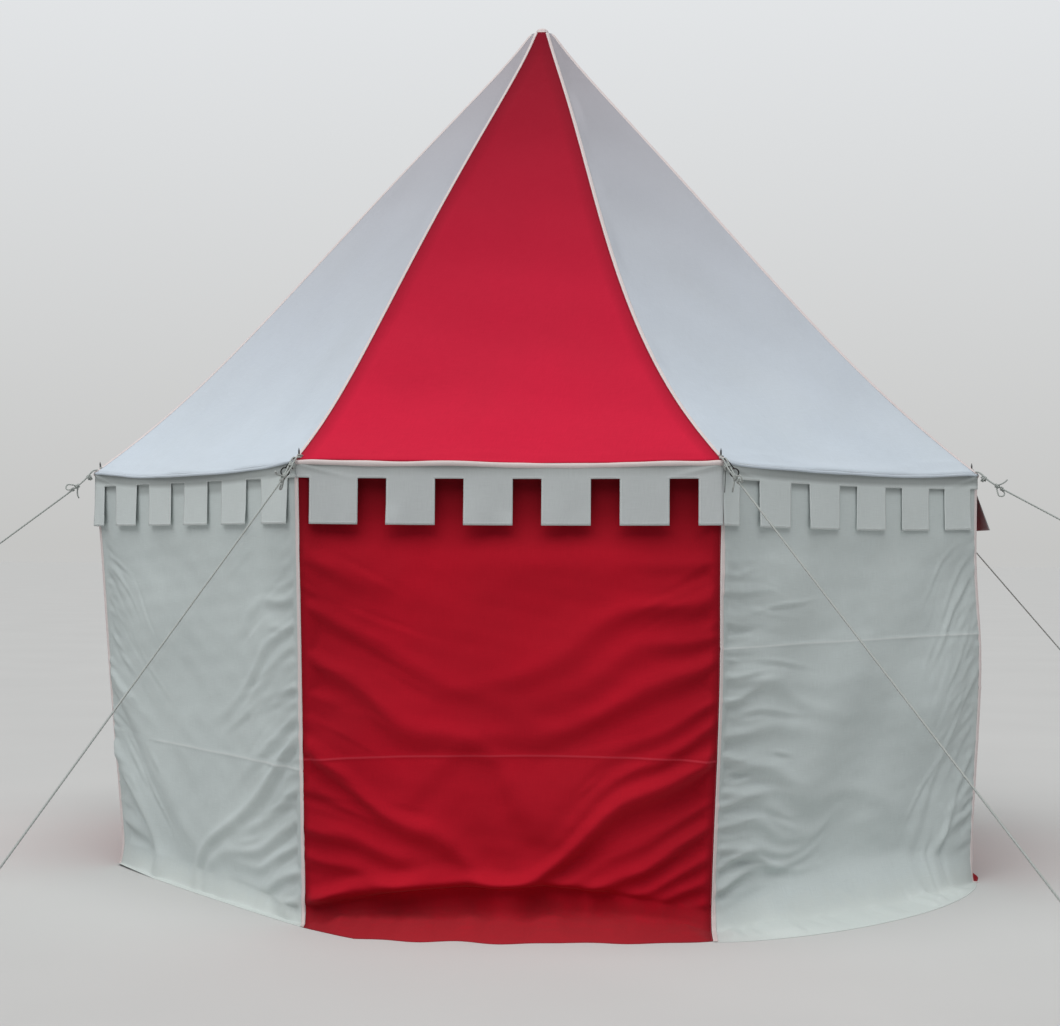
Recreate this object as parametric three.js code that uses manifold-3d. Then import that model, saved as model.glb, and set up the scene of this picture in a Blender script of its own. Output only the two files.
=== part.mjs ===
// An eight-sided medieval pavilion: red and white canvas on one centre pole and eight side poles,
// with a battlement valance under the eave and a guy rope and peg at every corner.
// Millimetres, +Z up. The origin is on the ground at the foot of the centre pole, and the front
// panel faces -Y. Corners and panels are counted anticlockwise seen from above: corner 0 is the
// front left one, and panel k runs from corner k to corner k + 1.
import * as THREE from "three";
import { mergeVertices } from "three/addons/utils/BufferGeometryUtils.js";
import Module from "manifold-3d";

// Driving dimensions
const SIDES = 8;
const EAVE_RADIUS = 2400;
const EAVE_HEIGHT = 2000;
const APEX_HEIGHT = 4500;
const GAP = 0.3;
const SEAM_GAP = 0.2;

// Roof cloth: it lies over the head of the centre pole, and from there every seam sags below a
// straight line and winds a little round the pole
const ROOF_CLOTH = 5;
const ROOF_HOLE_RADIUS = 20;
const CROWN_RADIUS = 62;
const CROWN_SPREAD = 0.057;
const CROWN_DIP = 24;
const CROWN_DIP_SPREAD = 0.015;
const CROWN_DOME = 6;
const SEAM_SAG = [154, 100, 73, 95, 105, 100, 95, 97];
const SEAM_SAG_POWER = 2.2;
const SEAM_WIND = [-3.0, -4.3, -3.2, -3.2, -3.2, -3.2, -3.2, -3.0].map(THREE.MathUtils.degToRad);
const PANEL_DIP = 26;
const EAVE_DROOP = [8, 22, 26, 30, 22, 30, 26, 38];
const ROOF_ROWS = 12;
const ROOF_ROW_POWER = 1.4;
const PANEL_COLUMNS = 4;

// Battlement valance: its upper edge droops with the eave, and the rest of it droops less
const VALANCE_CLOTH = 4;
const VALANCE_DEPTH = 270;
const VALANCE_DROOP = [4, 12, 8, 8, 8, 8, 8, 2];
const BAND_DEPTH = 71;
const NOTCHES = 44;
const NOTCH_WIDTH = 123;
const NOTCH_CHAMFER = 12;

// Walls, by corner: how far the cloth stands out at half height, radius at the foot and height of
// the fold above the ground flap
const WALL_CLOTH = 5;
const WAIST_SWELL = [0, 25, 32, 18, 12, 18, 10, 4];
const FOOT_RADIUS = [2310, 2290, 2372, 2310, 2320, 2310, 2300, 2240];
const FOLD_HEIGHT = [80, 70, 110, 100, 100, 100, 100, 110];
const WALL_COLUMNS = 6;

// Ground flaps, by corner: turn of the seam between two flaps from radial, and how far out the
// cloth comes down to the ground. By panel: reach of the flap beyond the wall at its two ends, how
// much further it swells between them, and how much higher its fold lies there
const FLAP_SEAM_TURN = [30, -22.5, 0, 0, 0, 0, 0, 0].map(THREE.MathUtils.degToRad);
const FLAP_SHOULDER = [40, 40, 3, 40, 40, 40, 40, 15];
const FLAP_START = [240, 165, 20, 120, 120, 120, 70, 24];
const FLAP_END = [220, 8, 120, 120, 120, 110, 20, 55];
const FLAP_SWELL = [90, 265, 30, 120, 120, 120, 20, 20];
const FLAP_SWELL_POWER = 0.75;
const FLAP_SHOULDER_SWELL = 0.4;
const FOLD_RISE = [0, 110, 40, 30, 30, 30, 30, 20];

// Poles
const SIDE_POLE_RADIUS = 19;
const SPIKE_RADIUS = 4;
const SPIKE_LENGTH = 60;
const SPIKE_POINT = 14;
const CENTRE_POLE_RADIUS = 30;
const HEAD_RADIUS = 50;
const HEAD_FALL = 4.3;
const HEAD_THICKNESS = 22;
const HEAD_CHAMFER = 6;
const POLE_FACETS = 16;

// Cap over the roof hole
const CAP_RADIUS = 35;
const CAP_SHOULDER_RADIUS = 28;
const CAP_CROWN_RADIUS = 15;
const CAP_RIM = 6;
const CAP_HEIGHT = 29;

// Guy ropes: how far out each peg stands from its corner, and how far its bearing turns from radial
const ROPE_RADIUS = 5;
const ROPE_DROP = 14;
const ROPE_REACH = [2340, 2350, 3550, 1950, 2400, 2400, 1900, 2500];
const ROPE_TURN = [0, 12.3, 0, 0, 0, 0, -41, 0].map(THREE.MathUtils.degToRad);
const ROPE_FOOT_HEIGHT = 46;
const ROPE_STEPS = 4;
const ROPE_FACETS = 8;

// Pegs: bent steel bar, from the ground up. The waist is the bar's near side at the rope's height.
const PEG_RADIUS = 6;
const PEG_STEPS = 14;
const PEG_ROUTE = [[0, 0], [0, 12], [7, 36], [16, 64], [28, 84], [44, 86], [52, 72], [50, 58]];
const PEG_WAIST = 4.8;

const RED = new THREE.MeshStandardMaterial({ color: 0xa80f24, roughness: 0.85, metalness: 0 });
const WHITE = new THREE.MeshStandardMaterial({ color: 0xd2d8d6, roughness: 0.85, metalness: 0 });
const WOOD = new THREE.MeshStandardMaterial({ color: 0xb08a5c, roughness: 0.6, metalness: 0 });
const STEEL = new THREE.MeshStandardMaterial({ color: 0x6f7274, roughness: 0.5, metalness: 0.9 });
const ROPE = new THREE.MeshStandardMaterial({ color: 0xd9d6c8, roughness: 0.9, metalness: 0 });

const STEP = (2 * Math.PI) / SIDES;
const MITRE = Math.cos(STEP / 2);
const APOTHEM = EAVE_RADIUS * MITRE;
const ROOF_SLOPE = Math.atan2(APEX_HEIGHT - EAVE_HEIGHT, EAVE_RADIUS);
const CROWN_TOP = APEX_HEIGHT - CROWN_DIP + CROWN_DOME;

const wasm = await Module();
wasm.setup();

// Places around the tent
const wrap = (index) => ((index % SIDES) + SIDES) % SIDES;
const cornerAzimuth = (j) => -Math.PI / 2 + (j - 0.5) * STEP;
const panelAzimuth = (k) => -Math.PI / 2 + k * STEP;
const polar = (radius, azimuth, z) =>
  new THREE.Vector3(radius * Math.cos(azimuth), radius * Math.sin(azimuth), z);
const tangent = (k) => polar(1, panelAzimuth(k) + Math.PI / 2, 0);
const panelName = (stem, k) => `${stem}_${k + 1}`;

// A closed solid between an outer and an inner grid of points, rows running down and columns
// running to the right as seen from outside.
function clothSolid(outer, inner) {
  const rows = outer.length;
  const columns = outer[0].length;
  const corners = [...outer.flat(), ...inner.flat()];
  const out = (i, j) => i * columns + j;
  const inn = (i, j) => (rows + i) * columns + j;
  const faces = [];
  const quad = (a, b, c, d) => faces.push(a, b, c, a, c, d);
  for (let i = 0; i < rows - 1; i += 1) {
    for (let j = 0; j < columns - 1; j += 1) {
      quad(out(i, j), out(i + 1, j), out(i + 1, j + 1), out(i, j + 1));
      quad(inn(i, j), inn(i, j + 1), inn(i + 1, j + 1), inn(i + 1, j));
    }
    quad(out(i + 1, 0), out(i, 0), inn(i, 0), inn(i + 1, 0));
    const last = columns - 1;
    quad(out(i + 1, last), inn(i + 1, last), inn(i, last), out(i, last));
  }
  for (let j = 0; j < columns - 1; j += 1) {
    quad(out(0, j), out(0, j + 1), inn(0, j + 1), inn(0, j));
    quad(out(rows - 1, j + 1), out(rows - 1, j), inn(rows - 1, j), inn(rows - 1, j + 1));
  }
  const geometry = new THREE.BufferGeometry().setFromPoints(corners);
  geometry.setIndex(faces);
  return geometry;
}

function manifoldOf(geometry) {
  const bare = geometry.clone();
  bare.deleteAttribute("normal");
  bare.deleteAttribute("uv");
  const merged = mergeVertices(bare, 1e-3);
  return new wasm.Manifold(
    new wasm.Mesh({
      numProp: 3,
      vertProperties: merged.attributes.position.array,
      triVerts: new Uint32Array(merged.index.array),
    }),
  );
}

function geometryOf(solid) {
  const mesh = solid.getMesh();
  const geometry = new THREE.BufferGeometry();
  geometry.setAttribute("position", new THREE.BufferAttribute(mesh.vertProperties, 3));
  geometry.setIndex(new THREE.BufferAttribute(mesh.triVerts, 1));
  return geometry;
}

const fractions = (count) => Array.from({ length: count + 1 }, (_, i) => i / count);
const across = (a, b, v) => a.clone().lerp(b, v);
const bow = (v) => 4 * v * (1 - v);
const eaveDroop = (k, v) => EAVE_DROOP[wrap(k)] * bow(v);

// A point on seam j of the roof, u running from 0 at the edge of the crown to 1 at the eave.
function seamPoint(j, u) {
  const azimuth = cornerAzimuth(j) + SEAM_WIND[wrap(j)] * Math.sin(Math.PI * u);
  const sag = SEAM_SAG[wrap(j)] * Math.sin(Math.PI * u ** SEAM_SAG_POWER);
  const radius = EAVE_RADIUS * u + CROWN_RADIUS * Math.exp(-u / CROWN_SPREAD);
  const dip = CROWN_DIP * Math.exp(-u / CROWN_DIP_SPREAD);
  return polar(radius, azimuth, APEX_HEIGHT - (APEX_HEIGHT - EAVE_HEIGHT) * u - sag - dip);
}

const inwardOf = (j) =>
  polar(-Math.sin(ROOF_SLOPE), cornerAzimuth(j), -Math.cos(ROOF_SLOPE)).multiplyScalar(ROOF_CLOTH);

// The crown row rings the hole over the pole's head; the other rows run down to the eave.
function roofPanel(k) {
  const side = tangent(k).multiplyScalar(SEAM_GAP);
  const columns = fractions(PANEL_COLUMNS);
  const crown = [k, k + 1].map((j) => polar(ROOF_HOLE_RADIUS, cornerAzimuth(j), CROWN_TOP));
  crown[0].add(side);
  crown[1].sub(side);
  const outer = [columns.map((v) => across(crown[0], crown[1], v))];
  const inner = [outer[0].map((point) => point.clone().setZ(CROWN_TOP - ROOF_CLOTH))];
  for (const step of fractions(ROOF_ROWS)) {
    const u = step ** ROOF_ROW_POWER;
    const left = seamPoint(k, u).add(side);
    const right = seamPoint(k + 1, u).sub(side);
    const dip = PANEL_DIP * Math.sin(Math.PI * u);
    const row = columns.map((v) => {
      const point = across(left, right, v);
      point.z -= dip * bow(v) + eaveDroop(k, v) * u ** 4;
      return point;
    });
    outer.push(row);
    const inward = (v) => across(inwardOf(k), inwardOf(k + 1), v);
    inner.push(row.map((point, i) => point.clone().add(inward(columns[i]))));
  }
  return clothSolid(outer, inner);
}

// The eyelet that a side pole's spike stands in is cut from both panels that meet there.
function withEyelets(geometry, k) {
  let solid = manifoldOf(geometry);
  for (const j of [k, k + 1]) solid = solid.subtract(manifoldOf(eyeletBore(j)));
  return geometryOf(solid);
}

// Walls
const WALL_TOP_RADIUS = (APOTHEM - VALANCE_CLOTH - GAP) / MITRE;
const WALL_TOP = EAVE_HEIGHT - ROOF_CLOTH * Math.cos(ROOF_SLOPE) - 2 * GAP;
const WALL_FREE = EAVE_HEIGHT - VALANCE_DEPTH - 2 * Math.max(...EAVE_DROOP);

// The six rows of one face of the wall cloth at corner j, from the eave down to the flap's tip. The
// cloth stays straight as far down as the valance hangs in front of it.
// depth is 0 on the outer face, and the thickness measured along the corner's mitre on the inner.
function wallCorner(j, k, reach, depth) {
  const azimuth = cornerAzimuth(j);
  const foot = FOOT_RADIUS[wrap(j)];
  const fold = FOLD_HEIGHT[wrap(j)];
  const seam = azimuth + FLAP_SEAM_TURN[wrap(j)];
  const travel = reach / Math.cos(seam - panelAzimuth(k));
  const lying = depth > 0 ? 0 : WALL_CLOTH;
  const straight = (z) => foot + ((WALL_TOP_RADIUS - foot) * (z - fold)) / (WALL_TOP - fold);
  const waist = (WALL_TOP + fold) / 2;
  const along = (distance) => polar(foot, azimuth, lying).add(polar(distance, seam, 0));
  return [
    polar(WALL_TOP_RADIUS - depth, azimuth, WALL_TOP),
    polar(straight(WALL_FREE) - depth, azimuth, WALL_FREE),
    polar(straight(waist) + WAIST_SWELL[wrap(j)] - depth, azimuth, waist),
    polar(foot - depth, azimuth, fold),
    along(FLAP_SHOULDER[wrap(j)] - depth),
    along(travel),
  ];
}

function wallPanel(k) {
  const side = tangent(k).multiplyScalar(SEAM_GAP);
  const outward = polar(1, panelAzimuth(k), 0);
  const grid = (depth) => {
    const left = wallCorner(k, k, FLAP_START[k], depth);
    const right = wallCorner(k + 1, k, FLAP_END[k], depth);
    return left.map((start, row) => {
      const a = start.add(side);
      const b = right[row].sub(side);
      return fractions(WALL_COLUMNS).map((v) => {
        const point = across(a, b, v);
        const swell = FLAP_SWELL[k] * bow(v) ** FLAP_SWELL_POWER;
        if (row === 0) point.z -= eaveDroop(k, v);
        if (row === 3) point.z += FOLD_RISE[k] * bow(v);
        if (row === 4) point.addScaledVector(outward, swell * FLAP_SHOULDER_SWELL);
        if (row === 5) point.addScaledVector(outward, swell);
        return point;
      });
    });
  };
  return clothSolid(grid(0), grid(WALL_CLOTH / MITRE));
}

// The notches cut up from the valance's lower edge on one side. They are spaced evenly round the
// whole tent, so every other corner has one that turns it.
const SIDE_LENGTH = 2 * APOTHEM * Math.tan(STEP / 2);
const VALANCE_HALF = (APOTHEM - VALANCE_CLOTH) * Math.tan(STEP / 2) - GAP;
const NOTCH_PITCH = (SIDES * SIDE_LENGTH) / NOTCHES;

function notchesOf(k) {
  const notches = [];
  const perSide = NOTCHES / SIDES;
  for (let n = Math.floor(k * perSide); n <= Math.ceil((k + 1) * perSide); n += 1) {
    const centre = n * NOTCH_PITCH - (k + 0.5) * SIDE_LENGTH;
    const from = Math.max(centre - NOTCH_WIDTH / 2, -VALANCE_HALF);
    const to = Math.min(centre + NOTCH_WIDTH / 2, VALANCE_HALF);
    if (to - from > NOTCH_CHAMFER) notches.push([from, to]);
  }
  return notches;
}

function valanceOutline(k) {
  const top = EAVE_HEIGHT - ROOF_CLOTH * Math.cos(ROOF_SLOPE) - GAP;
  const outline = [];
  const point = (x, depth) => {
    const droop = depth > 0 ? VALANCE_DROOP[k] : EAVE_DROOP[k];
    const fall = droop * bow(x / (2 * VALANCE_HALF) + 0.5);
    outline.push(new THREE.Vector2(x, top - fall - depth));
  };
  for (const v of fractions(2 * PANEL_COLUMNS)) point(VALANCE_HALF * (1 - 2 * v), 0);
  const notches = notchesOf(k);
  if (notches[0][0] > -VALANCE_HALF) point(-VALANCE_HALF, VALANCE_DEPTH);
  for (const [from, to] of notches) {
    if (from > -VALANCE_HALF) {
      point(from, VALANCE_DEPTH);
      point(from, BAND_DEPTH + NOTCH_CHAMFER);
      point(from + NOTCH_CHAMFER, BAND_DEPTH);
    } else {
      point(from, BAND_DEPTH);
    }
    if (to < VALANCE_HALF) {
      point(to - NOTCH_CHAMFER, BAND_DEPTH);
      point(to, BAND_DEPTH + NOTCH_CHAMFER);
      point(to, VALANCE_DEPTH);
    } else {
      point(to, BAND_DEPTH);
    }
  }
  if (notches.at(-1)[1] < VALANCE_HALF) point(VALANCE_HALF, VALANCE_DEPTH);
  return outline;
}

function valance(k) {
  const board = new THREE.ExtrudeGeometry(new THREE.Shape(valanceOutline(k)), {
    depth: VALANCE_CLOTH,
    bevelEnabled: false,
    steps: 1,
  });
  board.rotateX(Math.PI / 2);
  board.translate(0, VALANCE_CLOTH - APOTHEM, 0);
  board.rotateZ(k * STEP);
  return board;
}

function latheUp(profile) {
  const points = profile.map(([radius, z]) => new THREE.Vector2(radius, z));
  return new THREE.LatheGeometry(points, POLE_FACETS).rotateX(Math.PI / 2);
}

// Side poles lean with the wall's corner and stand just inside it. The shear keeps the foot flat.
const POLE_SHOULDER = EAVE_HEIGHT - ROOF_CLOTH * Math.cos(ROOF_SLOPE) + GAP;
const SPIKE_TOP = POLE_SHOULDER + SPIKE_LENGTH;

function sidePolePlace(j) {
  const inset = (WALL_CLOTH + SIDE_POLE_RADIUS + 2 * GAP) / MITRE;
  const top = WALL_TOP_RADIUS - inset;
  const fold = FOOT_RADIUS[wrap(j)] - inset;
  const lean = (top - fold) / (WALL_TOP - FOLD_HEIGHT[wrap(j)]);
  const place = new THREE.Matrix4().makeRotationZ(cornerAzimuth(j));
  place.multiply(new THREE.Matrix4().makeTranslation(fold - lean * FOLD_HEIGHT[wrap(j)], 0, 0));
  return place.multiply(new THREE.Matrix4().makeShear(0, 0, 0, 0, lean, 0));
}

function sidePole(j) {
  const pole = latheUp([
    [0, 0],
    [SIDE_POLE_RADIUS, 0],
    [SIDE_POLE_RADIUS, POLE_SHOULDER],
    [SPIKE_RADIUS, POLE_SHOULDER],
    [SPIKE_RADIUS, SPIKE_TOP - SPIKE_POINT],
    [0, SPIKE_TOP],
  ]);
  return pole.applyMatrix4(sidePolePlace(j));
}

function eyeletBore(j) {
  const radius = SPIKE_RADIUS + GAP;
  const bore = latheUp([
    [0, POLE_SHOULDER],
    [radius, POLE_SHOULDER],
    [radius, SPIKE_TOP],
    [0, SPIKE_TOP],
  ]);
  return bore.applyMatrix4(sidePolePlace(j));
}

// The centre pole carries a round head that spreads the roof, with a pin on it that fills the
// roof's hole under the cap.
const PIN_RADIUS = ROOF_HOLE_RADIUS * MITRE - GAP;
const PIN_TOP = CROWN_TOP;

function centrePole() {
  const underside = CROWN_TOP - ROOF_CLOTH - GAP;
  const rim = underside - HEAD_FALL;
  return latheUp([
    [0, 0],
    [CENTRE_POLE_RADIUS, 0],
    [CENTRE_POLE_RADIUS, rim - HEAD_THICKNESS],
    [HEAD_RADIUS - HEAD_CHAMFER, rim - HEAD_THICKNESS],
    [HEAD_RADIUS, rim - HEAD_THICKNESS + HEAD_CHAMFER],
    [HEAD_RADIUS, rim],
    [PIN_RADIUS, underside],
    [PIN_RADIUS, PIN_TOP],
    [0, PIN_TOP],
  ]);
}

function apexCap() {
  const base = PIN_TOP + GAP;
  return latheUp([
    [0, base],
    [CAP_RADIUS, base],
    [CAP_RADIUS, base + CAP_RIM],
    [CAP_SHOULDER_RADIUS, base + CAP_HEIGHT / 2],
    [CAP_CROWN_RADIUS, base + CAP_HEIGHT * 0.85],
    [0, base + CAP_HEIGHT],
  ]);
}

function tube(extrudePath, radius, steps, facets) {
  const ring = Array.from({ length: facets }, (_, i) => {
    const turn = (2 * Math.PI * i) / facets;
    return new THREE.Vector2(radius * Math.cos(turn), radius * Math.sin(turn));
  });
  return new THREE.ExtrudeGeometry(new THREE.Shape(ring), { steps, extrudePath, bevelEnabled: false });
}

// Where the peg of corner j stands, and the way its rope runs from the corner.
function pegPlace(j) {
  const bearing = cornerAzimuth(j) + ROPE_TURN[wrap(j)];
  const foot = polar(EAVE_RADIUS, cornerAzimuth(j), 0).add(polar(ROPE_REACH[wrap(j)], bearing, 0));
  return { bearing, foot };
}

// The rope's cut end leans with its slope, so its lower rim lies nearest the valance's corner and
// its upper rim lies nearest the peg.
function guyRope(j) {
  const { bearing, foot } = pegPlace(j);
  const pitch = Math.atan2(EAVE_HEIGHT, ROPE_REACH[wrap(j)]);
  const rim = ROPE_RADIUS * Math.sin(pitch);
  const valanceCorner = Math.hypot(APOTHEM, VALANCE_HALF);
  const start = polar(valanceCorner + rim + GAP, cornerAzimuth(j), EAVE_HEIGHT - ROPE_DROP);
  const end = foot.clone().add(polar(PEG_WAIST - rim, bearing, 0)).setZ(ROPE_FOOT_HEIGHT);
  return tube(new THREE.LineCurve3(start, end), ROPE_RADIUS, ROPE_STEPS, ROPE_FACETS);
}

function peg(j) {
  const { bearing, foot } = pegPlace(j);
  const points = PEG_ROUTE.map(([x, z]) => polar(x, bearing, z).add(foot));
  const route = new THREE.CatmullRomCurve3(points, false, "catmullrom");
  return tube(route, PEG_RADIUS, PEG_STEPS, ROPE_FACETS);
}

const tent = new THREE.Group();

function add(name, geometry, material) {
  const mesh = new THREE.Mesh(geometry, material);
  mesh.name = name;
  tent.add(mesh);
}

for (let k = 0; k < SIDES; k += 1) {
  const canvas = k % 2 === 0 ? RED : WHITE;
  add(panelName("roof_panel", k), withEyelets(roofPanel(k), k), canvas);
  add(panelName("wall_panel", k), wallPanel(k), canvas);
  add(panelName("valance", k), valance(k), WHITE);
}
for (let j = 0; j < SIDES; j += 1) {
  add(panelName("side_pole", j), sidePole(j), WOOD);
  add(panelName("guy_rope", j), guyRope(j), ROPE);
  add(panelName("peg", j), peg(j), STEEL);
}
add("centre_pole", centrePole(), WOOD);
add("apex_cap", apexCap(), ROPE);

export default tent;
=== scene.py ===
"""The looks of an eight-sided medieval pavilion tent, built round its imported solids.

Metres, +Z up, the front panel faces -Y. Corners and panels are counted anticlockwise seen from
above: corner 0 is the front left one, and panel k runs from corner k to corner k + 1. Even panels
are red and odd ones white. A cloth grid has rows running down and columns running to the right as
seen from outside.
"""

import math
from collections import namedtuple

import bpy
import numpy as np
from mathutils import Matrix, Vector


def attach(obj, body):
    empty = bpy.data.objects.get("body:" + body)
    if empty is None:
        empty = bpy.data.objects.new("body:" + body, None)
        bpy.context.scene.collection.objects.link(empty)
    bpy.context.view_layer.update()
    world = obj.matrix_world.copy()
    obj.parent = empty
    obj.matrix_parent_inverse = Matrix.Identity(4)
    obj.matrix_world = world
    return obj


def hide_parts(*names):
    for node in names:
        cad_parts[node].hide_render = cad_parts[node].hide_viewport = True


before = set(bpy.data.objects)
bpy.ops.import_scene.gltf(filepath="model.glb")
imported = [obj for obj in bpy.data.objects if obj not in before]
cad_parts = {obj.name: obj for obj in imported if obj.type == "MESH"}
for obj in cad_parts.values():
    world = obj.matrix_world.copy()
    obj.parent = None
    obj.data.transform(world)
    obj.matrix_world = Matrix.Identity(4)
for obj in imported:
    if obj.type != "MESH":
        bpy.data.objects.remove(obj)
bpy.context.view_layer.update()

IMAGE_WIDTH = 1060
BODY = "root"
SEEN = (7, 0, 1)

# The tent's own dimensions
SIDES = 8
EAVE_RADIUS = 2.4
EAVE_HEIGHT = 2.0
APEX_HEIGHT = 4.5
STEP = 2 * math.pi / SIDES
MITRE = math.cos(STEP / 2)
APOTHEM = EAVE_RADIUS * MITRE
SIDE_LENGTH = 2 * APOTHEM * math.tan(STEP / 2)
ROOF_SLOPE = math.atan2(APEX_HEIGHT - EAVE_HEIGHT, EAVE_RADIUS)

# Roof cloth
ROOF_SOLID = 0.005
ROOF_HOLE_RADIUS = 0.02
ROOF_LENGTH = 3.4
CROWN_RADIUS = 0.062
CROWN_SPREAD = 0.057
CROWN_DIP = 0.024
CROWN_DIP_SPREAD = 0.015
CROWN_TOP = APEX_HEIGHT - CROWN_DIP + 0.006
SEAM_SAG = (0.154, 0.100, 0.073, 0.095, 0.105, 0.100, 0.095, 0.097)
SEAM_SAG_POWER = 2.2
SEAM_WIND = tuple(math.radians(turn) for turn in (-3.0, -4.3, -3.2, -3.2, -3.2, -3.2, -3.2, -3.0))
PANEL_DIP = 0.026
EAVE_DROOP = (0.008, 0.022, 0.026, 0.030, 0.022, 0.030, 0.026, 0.038)

# Valance
VALANCE_SOLID = 0.004
VALANCE_DEPTH = 0.27
VALANCE_DROOP = (0.004, 0.012, 0.008, 0.008, 0.008, 0.008, 0.008, 0.002)
BAND_DEPTH = 0.071
NOTCHES = 44
NOTCH_WIDTH = 0.123
NOTCH_PITCH = SIDES * SIDE_LENGTH / NOTCHES
VALANCE_HALF = (APOTHEM - VALANCE_SOLID) * math.tan(STEP / 2)
VALANCE_TOP = EAVE_HEIGHT - ROOF_SOLID * math.cos(ROOF_SLOPE)

# Walls and ground flaps
WALL_TOP_RADIUS = (APOTHEM - VALANCE_SOLID) / MITRE
WALL_TOP = VALANCE_TOP - 0.0003
WALL_FREE = 1.654
WAIST_SWELL = (0.0, 0.025, 0.032, 0.018, 0.012, 0.018, 0.010, 0.004)
FOOT_RADIUS = (2.310, 2.290, 2.372, 2.310, 2.320, 2.310, 2.300, 2.240)
FOLD_HEIGHT = (0.045, 0.070, 0.110, 0.100, 0.100, 0.100, 0.100, 0.110)
FLAP_SEAM_TURN = tuple(math.radians(turn) for turn in (30, -22.5, 0, 0, 0, 0, 0, 0))
FLAP_SHOULDER = (0.040, 0.040, 0.003, 0.040, 0.040, 0.040, 0.040, 0.015)
FLAP_START = (0.240, 0.165, 0.020, 0.120, 0.120, 0.120, 0.070, 0.024)
FLAP_END = (0.220, 0.008, 0.120, 0.120, 0.120, 0.110, 0.020, 0.055)
FLAP_SWELL = (0.090, 0.265, 0.030, 0.120, 0.120, 0.120, 0.020, 0.020)
FLAP_SWELL_POWER = 0.75
FLAP_SHOULDER_SWELL = 0.4
FOLD_RISE = (0.100, 0.110, 0.040, 0.030, 0.030, 0.030, 0.030, 0.020)

# Thickness of a layer of cloth and of a sewn tape, and how far in from its edge a tape's seam map
# starts, which puts the stitches near that edge
CLOTH_THICKNESS = 0.0018
TAPE_THICKNESS = 0.0014
TAPE_EDGE = 0.0035

# Ropes and pegs
ROPE_RADIUS = 0.005
ROPE_LAY = 0.05
FINE_ROPE = 0.0044
FINE_LAY = 0.03
STRANDS = 3
ROPE_FACETS = 10
ROPE_RINGS_A_TURN = 6
ROPE_REACH = (2.340, 2.350, 3.550, 1.950, 2.400, 2.400, 1.900, 2.500)
ROPE_TURN = tuple(math.radians(turn) for turn in (0, 12.3, 0, 0, 0, 0, -41, 0))
ROPE_FOOT_HEIGHT = 0.046
DOUBLED_LENGTH = 0.095
CORD_RADIUS = 0.0022
CORD_LAY = 0.02
RING_RADIUS = 0.018
RING_STEPS = 40
RING_WIRE = 0.0030
HOOK_WIRE = 0.0026
WIRE_FACETS = 10
PEG_RADIUS = 0.006
PEG_FACETS = 14
PEG_STEPS = 90

# Camera, from the photograph's own perspective
CAMERA_PLACE = (0.6085, -9.6775, 1.63085)
CAMERA_YAW = 0.06848
CAMERA_PITCH = 0.0194
CAMERA_ROLL = 0.00498
CAMERA_FOCAL_PIXELS = 1753.68
SENSOR_WIDTH = 36.0


def wrap(index):
    return index % SIDES


def coarseness(k):
    """1 for a panel that the photograph shows, and 2 for one that gets a coarser mesh."""
    return 1 if wrap(k) in SEEN else 2


def is_red(k):
    return wrap(k) % 2 == 0


def corner_azimuth(j):
    return -math.pi / 2 + (j - 0.5) * STEP


def panel_azimuth(k):
    return -math.pi / 2 + k * STEP


def polar(radius, azimuth, height=0.0):
    x, y, z = np.broadcast_arrays(radius * np.cos(azimuth), radius * np.sin(azimuth), height)
    return np.stack([x, y, z], axis=-1).astype(float)


def upward(height):
    return np.array((0, 0, height))


def by_corner(j, out, right, up):
    """A point beside an eave corner: how far outward, to the right and up from it."""
    place = polar(EAVE_RADIUS + out, corner_azimuth(j), EAVE_HEIGHT + up)
    return place + polar(right, corner_azimuth(j) + math.pi / 2)


def between(left, right, v):
    """Points at share v of the straight way between two points or two lines."""
    return left + (right - left) * v[..., None]


def bow(v):
    return 4 * v * (1 - v)


def eave_droop(k, v):
    return EAVE_DROOP[wrap(k)] * bow(v)


def smooth(value, low, high):
    t = np.clip((value - low) / (high - low), 0, 1)
    return t * t * (3 - 2 * t)


def ridge(distance, width):
    """A rounded ridge of height 1 across a line at that distance."""
    return np.exp(-((distance / width) ** 2))


def unit(vectors):
    return vectors / np.maximum(np.linalg.norm(vectors, axis=-1, keepdims=True), 1e-9)


class Wobble:
    """A smooth field over two coordinates in metres, about -1 to 1, the same on every run."""

    def __init__(self, seed, wavelength, stretch=1.0, count=14):
        rng = np.random.default_rng(seed)
        heading = rng.uniform(0, 2 * math.pi, count)
        rate = 2 * math.pi / wavelength * rng.uniform(0.6, 1.7, count)
        self.across = rate * np.cos(heading)
        self.along = rate * np.sin(heading) / stretch
        self.phase = rng.uniform(0, 2 * math.pi, count)
        self.scale = math.sqrt(2 / count)

    def __call__(self, x, y):
        turn = x[..., None] * self.across + y[..., None] * self.along + self.phase
        return self.scale * np.sin(turn).sum(axis=-1)


def path_lengths(points, axis=0):
    """How far each point lies along its line, for a line or along one axis of a grid."""
    total = np.cumsum(np.linalg.norm(np.diff(points, axis=axis), axis=-1), axis=axis)
    pad = [(0, 0)] * total.ndim
    pad[axis] = (1, 0)
    return np.pad(total, pad)


def resampled(run, lengths, points):
    """Points of a line at other distances along it."""
    return np.stack([np.interp(run, lengths, points[:, axis]) for axis in range(3)], axis=-1)


def side_distance(grid):
    """Each point's distance from the nearer side seam."""
    across = np.linspace(0, 1, grid.shape[1])[None, :]
    width = np.linalg.norm(grid[:, -1] - grid[:, 0], axis=-1)[:, None]
    return np.minimum(across, 1 - across) * width


def edge_distance(grid):
    """Each point's distance from a side seam or the lower edge, whichever is nearer."""
    lengths = path_lengths(grid)
    return np.minimum(side_distance(grid), lengths[-1:] - lengths)


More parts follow.
